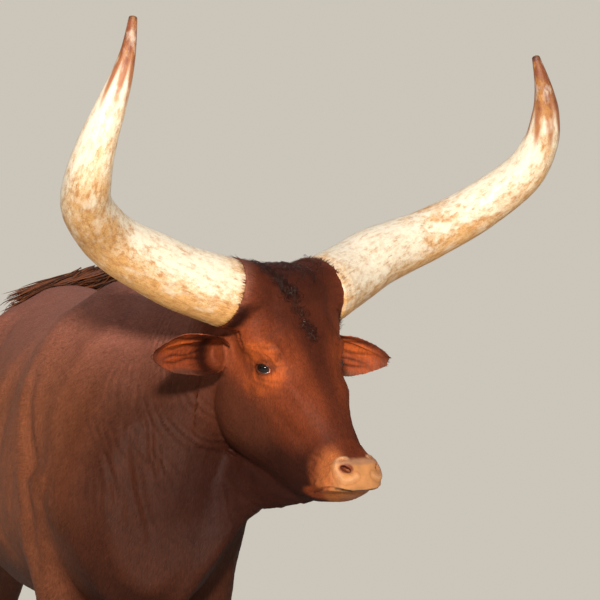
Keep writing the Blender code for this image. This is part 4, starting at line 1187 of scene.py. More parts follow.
@dataclass
class Skin:
    """One skin over all the flesh: a fine grid on the head, a coarser one behind the collar."""

    body_grid: float = 0.0068
    head_grid: float = 0.0028
    swell: float = 0.0006
    coat_depth: float = 0.0022
    collar: tuple = (0.526, -0.185, 1.14)
    collar_gap: float = 0.004
    ear_narrowing: float = 0.26
    boss_reach: float = 0.087
    horn_seat: float = 0.067
    wrinkle_height: float = 0.0010
    rib_height: float = 0.0011
    rib_spacing: float = 0.078
    item: bpy.types.Object = None

    def half(self, name: str, nodes: tuple, grid: float, keep_front: bool) -> bpy.types.Object:
        """One half of the skin, cut at the collar.

        Args:
            name: The half's name.
            nodes: The solids that it covers.
            grid: Size of its faces.
            keep_front: True for the half in front of the collar.

        Returns:
            The half as an object.
        """
        item = joined_nodes(name, nodes)
        points = points_of(item.data) + normals_of(item.data) * self.swell
        move_points(item.data, points)
        remeshed(item, grid)
        shape = bmesh.new()
        shape.from_mesh(item.data)
        facing = Vector(COLLAR_FACING).normalized()
        offset = self.collar_gap if keep_front else -self.collar_gap
        everything = shape.verts[:] + shape.edges[:] + shape.faces[:]
        bmesh.ops.bisect_plane(shape, geom=everything, plane_co=Vector(self.collar) + facing * offset,
                               plane_no=facing, clear_inner=keep_front, clear_outer=not keep_front)
        shape.to_mesh(item.data)
        shape.free()
        return item

    def build(self) -> bpy.types.Object:
        """Build, smooth and fold the skin.

        Returns:
            The skin's object.
        """
        front = self.half("Skin", ("head", "ear_left", "ear_right", "neck"), self.head_grid, True)
        behind = tuple(node for node in FLESH if node not in ("head", "ear_left", "ear_right"))
        rear = self.half("SkinRear", behind, self.body_grid, False)
        shape = bmesh.new()
        shape.from_mesh(front.data)
        shape.from_mesh(rear.data)
        open_edges = [edge for edge in shape.edges if edge.is_boundary]
        bmesh.ops.bridge_loops(shape, edges=open_edges)
        bmesh.ops.recalc_face_normals(shape, faces=shape.faces)
        shape.to_mesh(front.data)
        shape.free()
        bpy.data.objects.remove(rear)
        self.item = front
        self.smooth()
        self.seat_horn(Horn(Side.LEFT))
        self.fold()
        self.dress()
        return front

    def smooth(self) -> None:
        """Smooth the grid, gently where the lids, nostrils, lips and ears are fine."""
        mesh = self.item.data
        points, edges = points_of(mesh), edges_of(mesh)
        place = HEAD.local(points)
        place[:, 0] = np.abs(place[:, 0])
        fine = blob(place, (0.106, 0.074, -0.155), (0.022, 0.026, 0.020), 0.5)
        fine = np.maximum(fine, blob(place, (0.042, 0.248, -0.356), (0.024, 0.026, 0.020), 0.5))
        fine = np.maximum(fine, blob(place, (0.0, 0.215, -0.404), (0.080, 0.075, 0.010), 0.5))
        thin = ease((place[:, 0] - EAR.root) / 0.02) * ease((place[:, 2] + 0.24) / 0.04) * EAR.beside(place)
        weight = 1.0 - 0.88 * fine - 0.45 * thin * (1.0 - fine)
        points = relaxed(points, edges, 26, weight)
        move_points(mesh, points)
        self.point_ears()

    def point_ears(self) -> None:
        """Narrow the ears towards their tips."""
        mesh = self.item.data
        points = points_of(mesh)
        place = HEAD.local(points)
        along = EAR.along(place)
        ears = (along > 0.3) & EAR.beside(place) & (np.abs(place[:, 2] - EAR.level) < 0.10)
        narrow = self.ear_narrowing * ease((along - 0.55) / 0.40) * ears
        place[:, 2] += (EAR.level_at(place) - place[:, 2]) * narrow
        move_points(mesh, HEAD.at(place))

    def seat_horn(self, horn: "Horn") -> None:
        """Draw the skin in under the part of a horn that shows inside the boss.

        Args:
            horn: The horn.
        """
        mesh = self.item.data
        points = points_of(mesh)
        path = horn.line(60)
        out = unit(path[1] - path[0])
        place = (points - path[0]) @ out
        radial = points - path[0] - place[:, None] * out
        away = np.maximum(np.linalg.norm(radial, axis=1), 1e-6)
        under = ease((place + horn.inward() - 0.004) / 0.005) * ease((self.boss_reach - away) / 0.006)
        drawn = np.minimum(away, self.horn_seat)
        move_points(mesh, points + radial * ((drawn / away - 1.0) * under)[:, None])

    def fold(self) -> None:
        """Press the folds in, and give the neck its fine wrinkles and the flank its faint ribs."""
        mesh = self.item.data
        for fold in BODY_FOLDS + FACE_FOLDS:
            move_points(mesh, fold.press(points_of(mesh), normals_of(mesh)))
        points, normals = points_of(mesh), normals_of(mesh)
        lift = self.wrinkles(points) + self.ribs(points)
        move_points(mesh, points + normals * lift[:, None])

    def wrinkles(self, points: np.ndarray) -> np.ndarray:
        """Height of the neck's fine wrinkles at each point.

        Args:
            points: Rows of points.

        Returns:
            A height for each.
        """
        neck = blob(HEAD.local(points), (-0.10, -0.21, -0.30), (0.20, 0.10, 0.20), 0.6)
        height = points[:, 2]
        along = points @ unit(np.array(COLLAR_FACING)) + 0.012 * np.sin(height * 23.0)
        broken = 0.5 + 0.5 * np.sin(height * 37.0 + along * 60.0)
        wrinkle = np.sin(along * 430.0 + 1.4 * np.sin(height * 31.0)) * broken
        return neck * wrinkle * self.wrinkle_height

    def ribs(self, points: np.ndarray) -> np.ndarray:
        """Height of the ribs that show faintly through the flank at each point.

        Args:
            points: Rows of points.

        Returns:
            A height for each.
        """
        height = points[:, 2]
        flank = np.column_stack((points[:, 0], points[:, 1] - MIDDLE, height))
        ribs = blob(flank, (-0.33, 0.0, 0.95), (0.26, 0.60, 0.20), 0.9)
        lean = points[:, 0] + 0.25 * height
        uneven = 0.6 + 0.4 * np.sin(lean * 17.0 + height * 9.0)
        wave = np.sin(lean * 2.0 * math.pi / self.rib_spacing + 0.6 * np.sin(height * 11.0))
        return ribs * uneven * self.rib_height * wave

    def dress(self) -> None:
        """Draw the skin in by the coat's depth, colour it and give it its material."""
        mesh = self.item.data
        points, normals = points_of(mesh), normals_of(mesh)
        bare = MARKINGS.bare(points)
        lying = 1.0 - ease((0.02 - points[:, 2]) / 0.01)
        points = points - normals * (self.coat_depth * (1.0 - bare) * lying)[:, None]
        move_points(mesh, points)
        mesh.shade_smooth()
        paint(mesh, "Markings", MARKINGS.colours(points, normals))
        paint(mesh, "Bare", bare)
        place = HEAD.local(points)
        on_head = blob(place, HEAD_MIDDLE, (0.20, 0.22, 0.28), 0.3)
        on_leg = ease((0.72 - points[:, 2]) / 0.15)
        paint(mesh, "Region", np.column_stack((on_head, on_leg, np.zeros(len(points)))))
        mesh.materials.clear()
        mesh.materials.append(HideFinish().material())
        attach(self.item, "root")
        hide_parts(*FLESH)


@dataclass(frozen=True)
class Eye:
    """An eyeball with a dark iris and a level pupil, wet rims, a pink corner and lashes."""

    side: Side
    radius: float = 0.0184
    at: tuple = (0.0955, 0.0665, -0.155)
    slit_half: float = 0.0165
    slit_height: float = 0.0088
    lash_count: int = 46
    white: tuple = (84, 58, 44)
    limbus: tuple = (18, 10, 8)
    iris: tuple = (40, 20, 12)
    inner_iris: tuple = (22, 12, 9)
    pupil: tuple = (6, 6, 9)
    rim_colour: tuple = (46, 23, 18)
    corner_colour: tuple = (206, 120, 104)
    lump_colour: tuple = (212, 124, 108)
    lash_colour: tuple = (26, 14, 10)

    def axes(self) -> np.ndarray:
        """Rows along the slit, out of the head, and up.

        Returns:
            Three unit vectors.
        """
        sign = self.side.value
        out = HEAD.towards(sign * 0.88, 0.46, -0.02)
        slit = HEAD.towards(-sign * 0.40, 0.86, -0.30)
        slit = unit(slit - out * slit.dot(out))
        return np.array((slit, out, np.cross(slit, out) * sign * -1.0))

    def centre(self) -> np.ndarray:
        """The middle of the eyeball."""
        left, forward, up = self.at
        return HEAD.at((self.side.value * left, forward, up))

    def rim(self, count: int, reach: float) -> np.ndarray:
        """Points round the opening between the lids.

        Args:
            count: How many points.
            reach: How far from the eyeball's middle they lie.

        Returns:
            Rows of points.
        """
        axes = self.axes()
        turns = np.linspace(0.0, 2.0 * math.pi, count, endpoint=False)
        rows = []
        for turn in turns:
            out = 0.016
            for _ in range(12):
                share = math.sqrt(max(0.0, 1.0 - ((out - 0.021) / 0.016) ** 2))
                across = self.slit_half * share * math.cos(turn)
                up = self.slit_height * share * math.sin(turn)
                out = math.sqrt(max(1e-8, reach ** 2 - across ** 2 - up ** 2))
            rows.append(self.centre() + across * axes[0] + out * axes[1] + up * axes[2])
        return np.array(rows)

    def ball(self) -> bpy.types.Object:
        """The eyeball with its cornea, coloured by its own axes.

        Returns:
            The eyeball's object.
        """
        shape = bmesh.new()
        bmesh.ops.create_icosphere(shape, subdivisions=5, radius=self.radius)
        mesh = bpy.data.meshes.new("Eye")
        shape.to_mesh(mesh)
        shape.free()
        local = points_of(mesh) / self.radius
        across, up = local[:, 0], local[:, 2]
        from_middle = np.hypot(across, up)
        ahead = local[:, 1] > 0.0
        dome = np.where(ahead, ease((0.62 - from_middle) / 0.5), 0.0)
        ball = Paint(len(local), self.white)
        ball.lay(ease((0.90 - from_middle) / 0.10) * ahead, self.limbus)
        ball.lay(ease((0.78 - from_middle) / 0.10) * ahead, self.iris)
        ball.lay(ease((0.50 - from_middle) / 0.30) * 0.6 * ahead, self.inner_iris)
        level_pupil = ease((1.0 - np.hypot(across / 0.52, up / 0.27)) / 0.12)
        ball.lay(level_pupil * ahead, self.pupil)
        bulged = local * self.radius + np.outer(dome * 0.0008, (0.0, 1.0, 0.0))
        move_points(mesh, self.centre() + bulged @ self.axes())
        mesh.shade_smooth()
        paint(mesh, "Markings", ball.colours)
        mesh.materials.append(WetFinish("Eyeball", 0.06, 0.0).material())
        item = placed(f"Eye_{self.side.name.lower()}", mesh)
        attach(item, "root")
        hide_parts(f"eye_{self.side.name.lower()}")
        return item

    def rims(self) -> bpy.types.Object:
        """The wet dark rims of both lids, with the pink corner in front.

        Returns:
            The rims' object.
        """
        count = 48
        path = self.rim(count, self.radius + 0.0014)
        path = np.vstack((path, path[:1]))
        swell = 0.0013 + 0.0005 * np.cos(np.linspace(0.0, 2.0 * math.pi, count + 1))
        points, triangles, _ = tube(path, swell, 8, tuple(self.axes()[1]))
        rims = Paint(len(points), self.rim_colour)
        corner = self.centre() + self.axes()[0] * 0.0150 + self.axes()[1] * 0.0122 - self.axes()[2] * 0.0012
        rims.lay(blob(points, tuple(corner), (0.0045, 0.0045, 0.0045), 0.8), self.corner_colour)
        shape = bmesh.new()
        bmesh.ops.create_icosphere(shape, subdivisions=3, radius=1.0)
        lump = np.array([vert.co for vert in shape.verts])
        faces = np.array([[vert.index for vert in face.verts] for face in shape.faces])
        shape.free()
        lump = corner + (lump * np.array((0.0042, 0.0022, 0.0024))) @ self.axes()
        mesh = triangle_mesh("Rims", np.vstack((points, lump)), np.vstack((triangles, faces + len(points))))
        pinks = np.tile(tone(*self.lump_colour), (len(lump), 1))
        paint(mesh, "Markings", np.vstack((rims.colours, pinks)))
        mesh.materials.append(WetFinish("Lid rims", 0.30, 0.5).material())
        item = placed(f"Lid_rims_{self.side.name.lower()}", mesh)
        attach(item, "root")
        return item

    def lashes(self) -> bpy.types.Object:
        """Long dark lashes along the upper lid, hanging out and down and curving up at their ends.

        Returns:
            The lashes' object.
        """
        draws = np.random.default_rng(61 + int(self.side.value))
        slit, out, up = self.axes()
        rim = self.rim(96, self.radius + 0.0030)
        if up[2] < 0.0:
            rim, up = np.roll(rim, 48, axis=0), -up
        points, triangles, base = [], [], 0
        for _ in range(self.lash_count):
            turn = draws.uniform(0.06, 0.94)
            start = rim[int(turn * 48.0)] + up * draws.uniform(-0.0004, 0.0010)
            length = draws.uniform(0.007, 0.012) * (0.7 + 0.3 * math.sin(turn * math.pi))
            lean = slit * (start - self.centre()).dot(slit) / self.slit_half * 0.35
            lean = lean + draws.normal(0.0, 0.08, 3)
            rows = []
            for share in np.linspace(0.0, 1.0, 6):
                fall = -0.10 * share + 0.16 * share ** 2
                rows.append(start + length * (out * share * 0.80 + up * fall + lean * share))
            some, faces, _ = tube(np.array(rows), np.linspace(0.00036, 0.00008, 6), 4)
            points.append(some)
            triangles.append(faces + base)
            base += len(some)
        mesh = triangle_mesh("Lashes", np.vstack(points), np.vstack(triangles))
        paint(mesh, "Markings", np.tile(tone(*self.lash_colour), (base, 1)))
        mesh.materials.append(TuftFinish("Lash hair", 0.40, 0.4).material())
        item = placed(f"Lashes_{self.side.name.lower()}", mesh)
        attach(item, "root")
        return item


@dataclass(frozen=True)
class HornPlaces:
    """Where each point of a horn lies: along it, as a share and as a length, round it, and how far out."""

    along: np.ndarray
    run: np.ndarray
    turns: np.ndarray
    radius: np.ndarray
    outward: np.ndarray


@dataclass(frozen=True)
class Horn:
    """A long ivory horn with growth rings at its base and a stained tip."""

    side: Side
    rings: int = 300
    sides: int = 72
    rows: tuple = (
        (0.145, 0.000, 0.000, 0.000), (0.240, -0.024, 0.029, 0.001), (0.325, -0.032, 0.062, 0.002),
        (0.405, -0.030, 0.091, 0.006), (0.480, -0.012, 0.123, 0.012), (0.575, 0.048, 0.179, 0.009),
        (0.632, 0.117, 0.243, 0.005), (0.646, 0.160, 0.311, 0.004), (0.634, 0.185, 0.376, 0.009),
        (0.617, 0.197, 0.426, 0.016), (0.602, 0.200, 0.471, 0.021), (0.588, 0.198, 0.522, 0.032))
    radii: tuple = (0.073, 0.069, 0.0655, 0.0605, 0.056, 0.0515, 0.046, 0.038, 0.030, 0.022, 0.015, 0.0085)
    hairline: float = 0.032
    root_depth: float = 0.012
    root_radius: float = 0.058
    band_spacing: float = 0.021
    ivory: tuple = (230, 219, 198)
    under: tuple = (226, 196, 148)
    base: tuple = (208, 168, 118)
    tip: tuple = (150, 80, 38)
    dark_tip: tuple = (116, 58, 34)
    point: tuple = (70, 36, 26)

    def inward(self) -> float:
        """How far the bare horn shows inside the boss; the left hairline lies nearer the poll."""
        return self.hairline if self.side is Side.LEFT else 0.0

    def line(self, count: int) -> np.ndarray:
        """The horn's centre line.

        Args:
            count: How many points to give.

        Returns:
            Rows of points.
        """
        sign = self.side.value
        places = [(sign * left, forward, up - sign * tilt) for left, forward, up, tilt in self.rows]
        return HEAD.at(curve_through(places, count))

    def profile(self) -> tuple[np.ndarray, np.ndarray]:
        """The whole centre line, from the root inside the boss to the domed tip.

        Returns:
            Rows of points, and the radius at each.
        """
        path = self.line(self.rings)
        radii = curve_through(self.radii, self.rings)[:, 0]
        start, end = unit(path[1] - path[0]), unit(path[-1] - path[-2])
        inward, deepest = self.inward(), self.inward() + self.root_depth
        depths = np.linspace(deepest, 0.002, 16)
        root = path[0] - start * depths[:, None]
        narrowed = (radii[0], radii[0] - 0.06 * inward, self.root_radius)
        roots = np.interp(depths, (0.0, inward + 0.001, deepest), narrowed)
        dome = np.sin(np.linspace(0.1, 1.0, 8) * math.pi / 2.0)
        tip = path[-1] + end * (dome * 0.0045)[:, None]
        tips = radii[-1] * np.sqrt(np.maximum(1.0 - dome ** 2, 0.004))
        return np.vstack((root, path, tip)), np.concatenate((roots, radii, tips))

    def relief(self, at: HornPlaces) -> np.ndarray:
        """Height of the growth bands, lumps and fine ridges at each point.

        Args:
            at: Where the points lie on the horn.

        Returns:
            A height for each.
        """
        growth = np.exp(-at.along * 9.0)
        bands = at.run * 2.0 * math.pi / self.band_spacing
        bands = np.sin(bands + 1.3 * np.sin(at.run * 31.0) + 0.5 * np.sin(at.turns * 2.0))
        lumps = np.sin(at.run * 26.0 + at.turns * 2.0) * np.sin(at.run * 11.0 - at.turns + 1.0)
        fine = np.sin(at.turns * 23.0 + at.run * 14.0) * np.sin(at.turns * 9.0 - at.run * 8.0)
        lift = 0.0004 * growth * bands + 0.0009 * lumps * at.radius / 0.07 + 0.00025 * fine * at.radius / 0.05
        return lift * (at.radius > 0.006)

    def build(self) -> bpy.types.Object:
        """Build and dress the horn.

        Returns:
            The horn's object.
        """
        path, radii = self.profile()
        lengths = np.concatenate(((0.0,), np.cumsum(np.linalg.norm(np.diff(path, axis=0), axis=1))))
        points, triangles, turns = tube(path, radii, self.sides)
        ring = np.append(np.repeat(np.arange(len(path)), self.sides), (0, len(path) - 1))
        outward = unit(points - path[ring])
        at = HornPlaces((lengths / lengths[-1])[ring], lengths[ring], turns, radii[ring], outward)
        mesh = triangle_mesh("Horn", points + at.outward * self.relief(at)[:, None], triangles)
        store(mesh, "Run", np.column_stack((np.cos(turns) * at.radius, np.sin(turns) * at.radius, at.run)))
        paint(mesh, "Markings", self.colours(at))
        paint(mesh, "Stain", self.stain(at))
        mesh.materials.append(HornFinish().material())
        item = placed(f"Horn_{self.side.name.lower()}", mesh)
        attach(item, "root")
        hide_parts(f"horn_{self.side.name.lower()}")
        return item

    def colours(self, at: HornPlaces) -> np.ndarray:
        """Broad colours of the horn at each point.

        Args:
            at: Where the points lie on the horn.

        Returns:
            A colour for each.
        """
        horn = Paint(len(at.along), self.ivory)
        horn.lay(ease((-at.outward[:, 2] - 0.05) / 0.8) * (0.8 - 0.5 * at.along), self.under)
        horn.lay(ease((0.10 - at.along) / 0.09) * 0.35, self.base)
        streaks = 0.5 + 0.5 * np.sin(at.turns * 7.0 + 3.0 * np.sin(at.run * 9.0))
        past = at.along - (0.85 if self.side is Side.RIGHT else 0.83)
        horn.lay(ease((past + 0.08 * streaks) / 0.07) * 0.92, self.tip)
        horn.lay(ease((past - 0.06 + 0.05 * streaks) / 0.05) * 0.85, self.dark_tip)
        horn.lay(ease((at.along - 0.985) / 0.01) * 0.8, self.point)
        return horn.colours

    def stain(self, at: HornPlaces) -> np.ndarray:
        """How stained the horn is, from 0 to 1: most below, at the bend and at the hairline.

        Args:
            at: Where the points lie on the horn.

        Returns:
            A share for each.
        """
        wave = np.sin(at.turns * 3.0 + at.run * 19.0) * np.sin(at.turns * 5.0 - at.run * 31.0 + 2.0)
        wave = 0.5 + 0.5 * wave
        under = ease((0.15 - at.outward[:, 2]) / 1.1) * (1.0 - 0.65 * at.along)
        bend = ease(1.0 - np.abs(at.along - 0.45) / 0.13) * (0.25 + 0.5 * wave)
        base = ease((0.09 - at.along) / 0.08) * (0.25 + 0.35 * wave)
        return np.clip(0.06 + 0.74 * under + 0.50 * bend + 0.55 * base, 0.0, 1.0)


@dataclass(frozen=True)
class Feet:
    """The eight hooves and eight dewclaws, ringed and slightly uneven."""

    grid: float = 0.0022
    ring_spacing: float = 0.0085
    ring_height: float = 0.00035
    horn: tuple = (74, 60, 50)
    top: tuple = (44, 34, 30)
    scuffed: tuple = (122, 104, 84)

    def names(self) -> list[str]:
        """Names of all the hoof and dewclaw nodes."""
        hooves = [f"hoof_{place}_{half}" for place in FEET for half in ("inner", "outer")]
        return hooves + [f"dewclaw_{place}_{number}" for place in FEET for number in (1, 2)]

    def build(self) -> int:
        """Build and dress every hoof and dewclaw.

        Returns:
            How many there are.
        """
        material = HoofFinish().material()
        for node in self.names():
            name = "_".join(word.capitalize() for word in node.split("_"))
            item = remeshed(joined_nodes(name, (node,)), self.grid)
            mesh = item.data
            points = points_of(mesh)
            loose = ease((points[:, 2] - 0.003) / 0.006)
            points = relaxed(points, edges_of(mesh), 6, 0.9 * loose)
            rings = np.sin(points[:, 2] * 2.0 * math.pi / self.ring_spacing + np.sin(points[:, 0] * 60.0))
            points = points + normals_of(mesh) * (rings * self.ring_height * loose)[:, None]
            points[:, 2] = np.maximum(points[:, 2], 0.0)
            move_points(mesh, points)
            height = points[:, 2]
            hoof = Paint(len(points), self.horn)
            hoof.lay(ease((height / max(height.max(), 1e-6) - 0.2) / 0.8), self.top)
            hoof.lay(ease((0.010 - height) / 0.010) * 0.6, self.scuffed)
            mesh.shade_smooth()
            paint(mesh, "Markings", hoof.colours)
            mesh.materials.clear()
            mesh.materials.append(material)
            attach(item, "root")
            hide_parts(node)
        return len(self.names())


@dataclass(frozen=True)
class Lie:
    """Which way the coat lies, from guides set over the animal."""

    guides: tuple = (
        ((0.0, 0.06, -0.02), (0.0, -0.45, 0.90), 0.045), ((0.0, 0.02, 0.05), (0.0, -0.90, 0.40), 0.05),
        ((0.0, 0.11, -0.12), (0.0, 0.50, -0.86), 0.07), ((0.0, 0.20, -0.27), (0.0, 0.50, -0.86), 0.08),
        ((0.0, 0.24, -0.36), (0.0, 0.55, -0.80), 0.05), ((0.09, 0.02, -0.06), (0.60, -0.40, 0.20), 0.05),
        ((0.10, 0.00, -0.18), (0.10, -0.55, -0.80), 0.07), ((0.09, 0.08, -0.26), (0.10, -0.20, -0.95), 0.08),
        ((0.06, 0.17, -0.37), (0.20, -0.20, -0.95), 0.06), ((0.0, 0.08, -0.42), (0.0, -0.95, -0.20), 0.08),
        ((0.07, -0.08, -0.27), (0.05, -0.70, -0.70), 0.08), ((0.0, -0.06, 0.00), (0.0, -0.95, 0.10), 0.06))
    trunk: tuple = (-0.93, 0.0, -0.36)
    neck: tuple = (-0.62, -0.28, -0.74)
    leg: tuple = (-0.10, 0.0, -1.0)
    rump: tuple = (-0.5, 0.0, -0.8)

    def directions(self, points: np.ndarray, normals: np.ndarray) -> np.ndarray:
        """The hair's direction along the surface at each point.

        Args:
            points: Rows of points.
            normals: The surface's direction at each.

        Returns:
            Rows of directions.
        """
        place = HEAD.local(points)
        total = np.zeros_like(points)
        heaviest = np.zeros(len(points))
        for centre, way, reach in self.guides:
            for sign in (1.0, -1.0):
                spot = np.array((sign * centre[0], centre[1], centre[2]))
                weight = np.exp(-(np.linalg.norm(place - spot, axis=1) / reach) ** 2)
                total += weight[:, None] * HEAD.towards(sign * way[0], way[1], way[2])
                heaviest += weight
        total = total / np.maximum(heaviest, 1e-6)[:, None]
        on_head = blob(place, HEAD_MIDDLE, (0.15, 0.20, 0.27), 0.25)
        on_neck = blob(place, (-0.10, -0.25, -0.30), (0.40, 0.22, 0.45), 0.5)
        on_leg = ease((0.80 - points[:, 2]) / 0.30)
        flow = np.array(self.trunk) + on_neck[:, None] * (np.array(self.neck) - np.array(self.trunk))
        flow = flow + on_leg[:, None] * (np.array(self.leg) - flow)
        flow = flow + on_head[:, None] * (total - flow)
        on_ear = ease((np.abs(place[:, 0]) - 0.125) / 0.02) * EAR.beside(place)
        on_ear = on_ear * ease((place[:, 2] + 0.24) / 0.04) * ease((0.02 - place[:, 2]) / 0.02)
        way = HEAD.matrix()[0] * np.sign(place[:, :1])
        flow = flow + on_ear[:, None] * (way - flow)
        behind = blob(points, (-1.08, -0.15, 1.20), (0.16, 0.24, 0.22), 0.2)
        flow = flow + behind[:, None] * (np.array(self.rump) - flow)
        flow = flow - normals * np.sum(flow * normals, axis=1, keepdims=True)
        return unit(flow)


LIE = Lie()


@dataclass(frozen=True)
class SkinMap:
    """An unwrap of the skin's own shape, to place each tuft's patch on."""

    source: bpy.types.Object
    faces: int = 14000

    def build(self) -> tuple[BVHTree, np.ndarray, np.ndarray]:
        """A simpler copy of the skin, unwrapped.

        Returns:
            A search tree of its triangles, their corner points, and their corners on the map.
        """
        item = placed("Map", self.source.data.copy())
        item.data.materials.clear()
        thin = item.modifiers.new("Thin", "DECIMATE")
        thin.ratio = self.faces / max(len(item.data.polygons) * 2, 1)
        thin.use_collapse_triangulate = True
        applied(item)
        bpy.context.view_layer.objects.active = item
        item.select_set(True)
        bpy.ops.object.mode_set(mode="EDIT")
        bpy.ops.mesh.select_all(action="SELECT")
        bpy.ops.uv.smart_project(angle_limit=math.radians(60.0), island_margin=0.002)
        bpy.ops.object.mode_set(mode="OBJECT")
        mesh = item.data
        points = points_of(mesh)
        corners = np.empty(len(mesh.loops), np.int32)
        mesh.loops.foreach_get("vertex_index", corners)
        flat = np.empty(len(mesh.loops) * 2)
        mesh.uv_layers.active.data.foreach_get("uv", flat)
        corners, flat = corners.reshape(-1, 3), flat.reshape(-1, 3, 2)
        tree = BVHTree.FromPolygons([tuple(point) for point in points],
                                    [tuple(row) for row in corners.tolist()])
        bpy.data.objects.remove(item)
        return tree, points[corners], flat


@dataclass
class Coat:
    """Short tufts over the skin, lying along the body."""

    skin: bpy.types.Object
    seed: int = 7
    patch: float = 0.003
    root_depth: float = 0.0002
    bend: float = 4.2
    collar: tuple = (0.40, -0.25, 1.10)

    def prepare(self) -> None:
        """Read the skin's triangles and unwrap its shape."""
        mesh = self.skin.data
        mesh.calc_loop_triangles()
        corners = np.empty(len(mesh.loop_triangles) * 3, np.int32)
        mesh.loop_triangles.foreach_get("vertices", corners)
        self.corners = corners.reshape(-1, 3)
        self.points, self.normals = points_of(mesh), normals_of(mesh)
        one, two, three = (self.points[self.corners[:, column]] for column in range(3))
        self.middles = (one + two + three) / 3.0
        self.areas = np.linalg.norm(np.cross(two - one, three - one), axis=1) / 2.0
        self.tree, self.map_points, self.map_places = SkinMap(self.skin).build()
        self.material = TuftFinish("Coat hair", 0.58, 0.10).material()
        self.glossy = TuftFinish("Poll hair", 0.26, 0.35).material()

    def on_map(self, roots: np.ndarray) -> np.ndarray:
        """Each root's place on the skin's unwrap.

        Args:
            roots: Where the tufts grow.

        Returns:
            Rows of two map coordinates.
        """
        places = np.zeros((len(roots), 2))
        for index, root in enumerate(roots):
            spot, _, face, _ = self.tree.find_nearest(root)
            one, two, three = self.map_points[face]
            along, up, away = two - one, three - one, np.array(spot) - one
            a, b, c = along @ along, along @ up, up @ up
            d, e = away @ along, away @ up
            area = max(a * c - b * b, 1e-18)
            second, third = (c * d - b * e) / area, (a * e - b * d) / area
            shares = np.clip((1.0 - second - third, second, third), 0.0, 1.0)
            places[index] = shares @ self.map_places[face] / max(shares.sum(), 1e-6)
        return places

    def scattered(self, count: int, density: np.ndarray, draws: np.random.Generator) -> tuple:
        """Roots spread over the skin.

        Args:
            count: How many.
            density: How thick they stand on each triangle.
            draws: The random numbers.

        Returns:
            Roots and the skin's direction at each.
        """
        chance = self.areas * density
        chosen = draws.choice(len(chance), count, p=chance / chance.sum())
        shares = draws.dirichlet((1.0, 1.0, 1.0), count)
        corners = self.corners[chosen]
        roots = np.einsum("ij,ijk->ik", shares, self.points[corners])
        normals = unit(np.einsum("ij,ijk->ik", shares, self.normals[corners]))
        return roots, normals

    def grow(self, name: str, roots: np.ndarray, normals: np.ndarray, ways: np.ndarray, length: np.ndarray,
             width: np.ndarray, lift: np.ndarray, draws: np.random.Generator, kind: Hair = Hair.STRAIGHT,
             dark: float = 1.0, colours: np.ndarray = None) -> bpy.types.Object:
        """Make tufts as closed three-sided blades in one mesh.

        Args:
            name: The piece's name.
            roots: Where they grow.
            normals: The skin's direction at each root.
            ways: The hair's direction at each root.
            length: Length of each.
            width: Width of each.
            lift: How steeply each leaves the skin.
            draws: The random numbers.
            kind: Flat or curled.
            dark: How much darker or lighter than the skin.
            colours: Colours in place of the markings.

        Returns:
            The piece.
        """
        count, steps = len(roots), kind.value
        straight = kind is Hair.STRAIGHT
        side = unit(np.cross(normals, ways))
        curl = draws.normal(0.0, 0.10 if straight else 0.55, count)[:, None]
        ridge = 0.28 if straight else 0.62
        rings = []
        for step in range(steps):
            share = step / steps
            sway = curl * share ** 2 if straight else curl * np.sin(share * self.bend)
            rise = lift[:, None] * share * (1.0 - 0.62 * share)
            middle = roots + length[:, None] * (ways * share + side * sway + normals * rise)
            half = (width * (1.0 - 0.55 * share ** 2) / 2.0)[:, None]
            low = middle - normals * (self.root_depth if step == 0 else 0.0)
            rings += [low + side * half, low - side * half, middle + normals * half * ridge]
        sway = curl if straight else curl * math.sin(self.bend)
        rise = np.maximum(lift * 0.38 * length, 0.0005 if straight else 0.0)[:, None]
        tip = roots + length[:, None] * (ways + side * sway) + normals * rise
        points = np.stack(rings + [tip], axis=1)
        size = points.shape[1]
        triangles = self.blade_faces(steps)[None] + np.arange(count)[:, None, None] * size
        triangles = triangles.reshape(-1, 3)
        mesh = triangle_mesh(name, points.reshape(-1, 3), triangles)
        if straight:
            lean = normals + side * draws.normal(0.0, 0.10, (count, 1)) - ways * 0.08
            across = side[:, None, :] * np.array((0.18, -0.18, 0.0, 0.0))[None, :, None]
            leans = np.repeat(unit(lean)[:, None, :], size, axis=1)
            leans = unit((leans + across).reshape(-1, 3))
            mesh.normals_split_custom_set_from_vertices(leans.tolist())
        if colours is None:
            colours = MARKINGS.colours(roots, normals)
        shade = np.clip(draws.normal(1.0, 0.16, count), 0.55, 1.5)[:, None, None] * dark
        tips = (0.92 + 0.18 * np.minimum(np.arange(size) // 3, steps) / steps)[None, :, None]
        paint(mesh, "Markings", (colours[:, None, :] * shade * tips).reshape(-1, 3))
        self.lay_out(mesh, roots, steps, triangles)
        mesh.materials.append(self.glossy if kind is Hair.CURLED else self.material)
        item = placed(name, mesh)
        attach(item, "root")
        log.info("%s: %d tufts, %d triangles", name, count, len(triangles))
        return item

    def blade_faces(self, steps: int) -> np.ndarray:
        """Triangles of one closed blade: a root, three sides along each length, and a tip.

        Args:
            steps: How many lengths it is bent in.

        Returns:
            Rows of three point numbers.
        """
        faces = [(0, 1, 2)]
        for base in range(0, (steps - 1) * 3, 3):
            for first, second in ((0, 2), (2, 1), (1, 0)):
                faces += [(base + first, base + second, base + 3 + second),
                          (base + first, base + 3 + second, base + 3 + first)]
        base, tip = (steps - 1) * 3, steps * 3
        faces += [(base, base + 2, tip), (base + 2, base + 1, tip), (base + 1, base, tip)]
        return np.array(faces)

